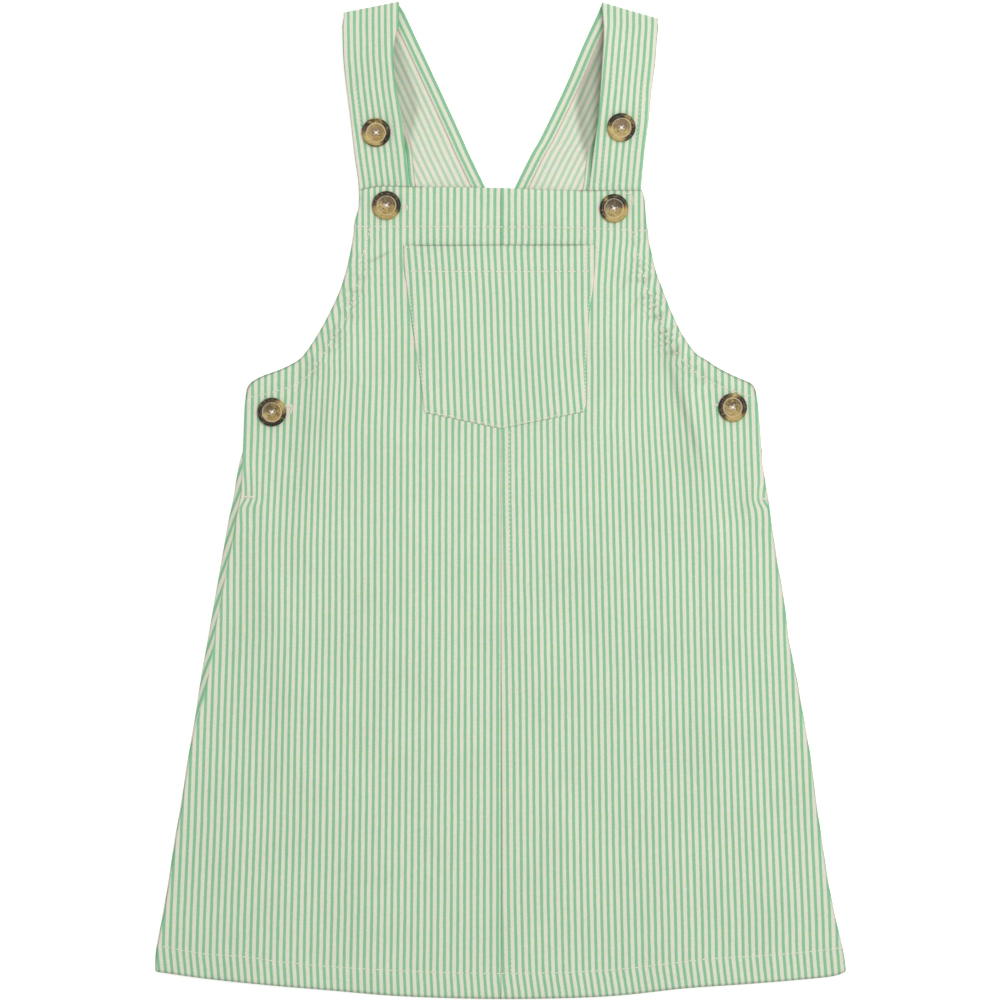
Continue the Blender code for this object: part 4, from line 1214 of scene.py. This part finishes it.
def seat_on_cloth(x, y):
    """Where a button rests: on the highest of the cloth under its rim, tilted with it."""
    spots, heights = [], []
    for step in range(8):
        angle = math.pi * step / 4
        spot = (SEAT_REACH * math.cos(angle), SEAT_REACH * math.sin(angle))
        above = Vector(((x + spot[0]) * MM, (y + spot[1]) * MM, LOOK_FROM))
        hits = [tree.ray_cast(above, DOWN)[0] for tree in cloth_below]
        spots.append(spot)
        heights.append(max(hit.z for hit in hits if hit) / MM)
    plane = np.column_stack([np.array(spots), np.ones(8)])
    slope_x, slope_y, level = np.linalg.lstsq(plane, np.array(heights), rcond=None)[0]
    level += (np.array(heights) - plane @ (slope_x, slope_y, level)).max() * 0.7
    tilt = Vector((0, 0, 1)).rotation_difference(Vector((-slope_x, -slope_y, 1))).to_matrix().to_4x4()
    return Matrix.Translation(Vector((x, y, level)) * MM) @ tilt


white_thread = cotton_thread("white_thread", (0.86, 0.84, 0.80))
for name, ((centre_x, centre_y), turn, arcs, greyness) in BUTTONS.items():
    mesh = drilled.copy()
    mesh.name = name + "_horn"
    seat = seat_on_cloth(centre_x, centre_y) @ Matrix.Rotation(math.radians(turn), 4, "Z")
    flat = np.empty(len(mesh.vertices) * 3, np.float32)
    mesh.vertices.foreach_get("co", flat)
    flat = flat.reshape(-1, 3) / MM
    reach = np.hypot(flat[:, 0], flat[:, 1])
    bearing = np.degrees(np.arctan2(flat[:, 1], flat[:, 0])) + turn
    darkness = np.zeros(len(flat))
    for middle, half_width, inner, outer, depth in arcs:
        off = np.abs((bearing - middle + 180) % 360 - 180)
        spread = ease((half_width + 22 - off) / 44)
        out = reach / BUTTON_RADIUS
        within = ease((out - inner + 0.04) / 0.08) * ease((outer - out + 0.04) / 0.08)
        darkness = np.maximum(darkness, depth * spread * within)
    # painted shade: the dished middle is a little darker
    darkness += 0.13 * ease((DISH_RADIUS - reach) / 0.6)
    ring_shade = 0.8 * bell(reach - RING_RADIUS, 0.19) * (flat[:, 2] > 2)
    # the upper half of each button's middle is greyer
    upper = ease((np.sin(np.radians(bearing)) * reach + 2.6) / 4.5)
    grey_shade = greyness * ease((5.5 - reach) / 1.0) * upper
    for key, shade_of in (("dark", darkness), ("ring", ring_shade), ("grey", grey_shade)):
        mesh.attributes.new(key, "FLOAT", "POINT").data.foreach_set("value", shade_of.astype(np.float32))
    mesh.transform(seat)
    mesh.materials.clear()
    mesh.materials.append(horn)
    mesh.shade_smooth()
    button = placed(name + "_horn", mesh)
    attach(button, "root")
    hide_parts(name)
    cross = bmesh.new()
    lean = math.atan2(HOLE_SPREAD[1], HOLE_SPREAD[0])
    reach = math.hypot(*HOLE_SPREAD)
    for angle, lift in ((lean, 2.02), (-lean, 2.26)):
        for beside in (-0.22, 0.22):
            lie = Matrix.Translation((0, 0, lift * MM)) @ Matrix.Rotation(angle, 4, "Z")
            lie = lie @ Matrix.Translation((0, beside * MM, 0))
            size = Matrix.Diagonal((reach * 0.68 * MM, 0.20 * MM, 0.28 * MM, 1))
            bmesh.ops.create_uvsphere(cross, u_segments=14, v_segments=8, radius=1, matrix=seat @ lie @ size)
    knot = Matrix.Translation((0, 0, 2.42 * MM)) @ Matrix.Diagonal((0.72 * MM, 0.62 * MM, 0.32 * MM, 1))
    bmesh.ops.create_uvsphere(cross, u_segments=12, v_segments=8, radius=1, matrix=seat @ knot)
    for hole in HOLES:
        lie = Matrix.Translation((hole[0] * 0.88 * MM, hole[1] * 0.88 * MM, 1.0 * MM))
        size = Matrix.Diagonal((0.42 * MM, 0.42 * MM, 1.0 * MM, 1))
        bmesh.ops.create_uvsphere(cross, u_segments=10, v_segments=6, radius=1, matrix=seat @ lie @ size)
    cross_mesh = as_mesh(name + "_thread", cross)
    cross_mesh.materials.append(white_thread)
    cross_mesh.shade_smooth()
    thread_cross = placed(name + "_thread", cross_mesh)
    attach(thread_cross, "root")
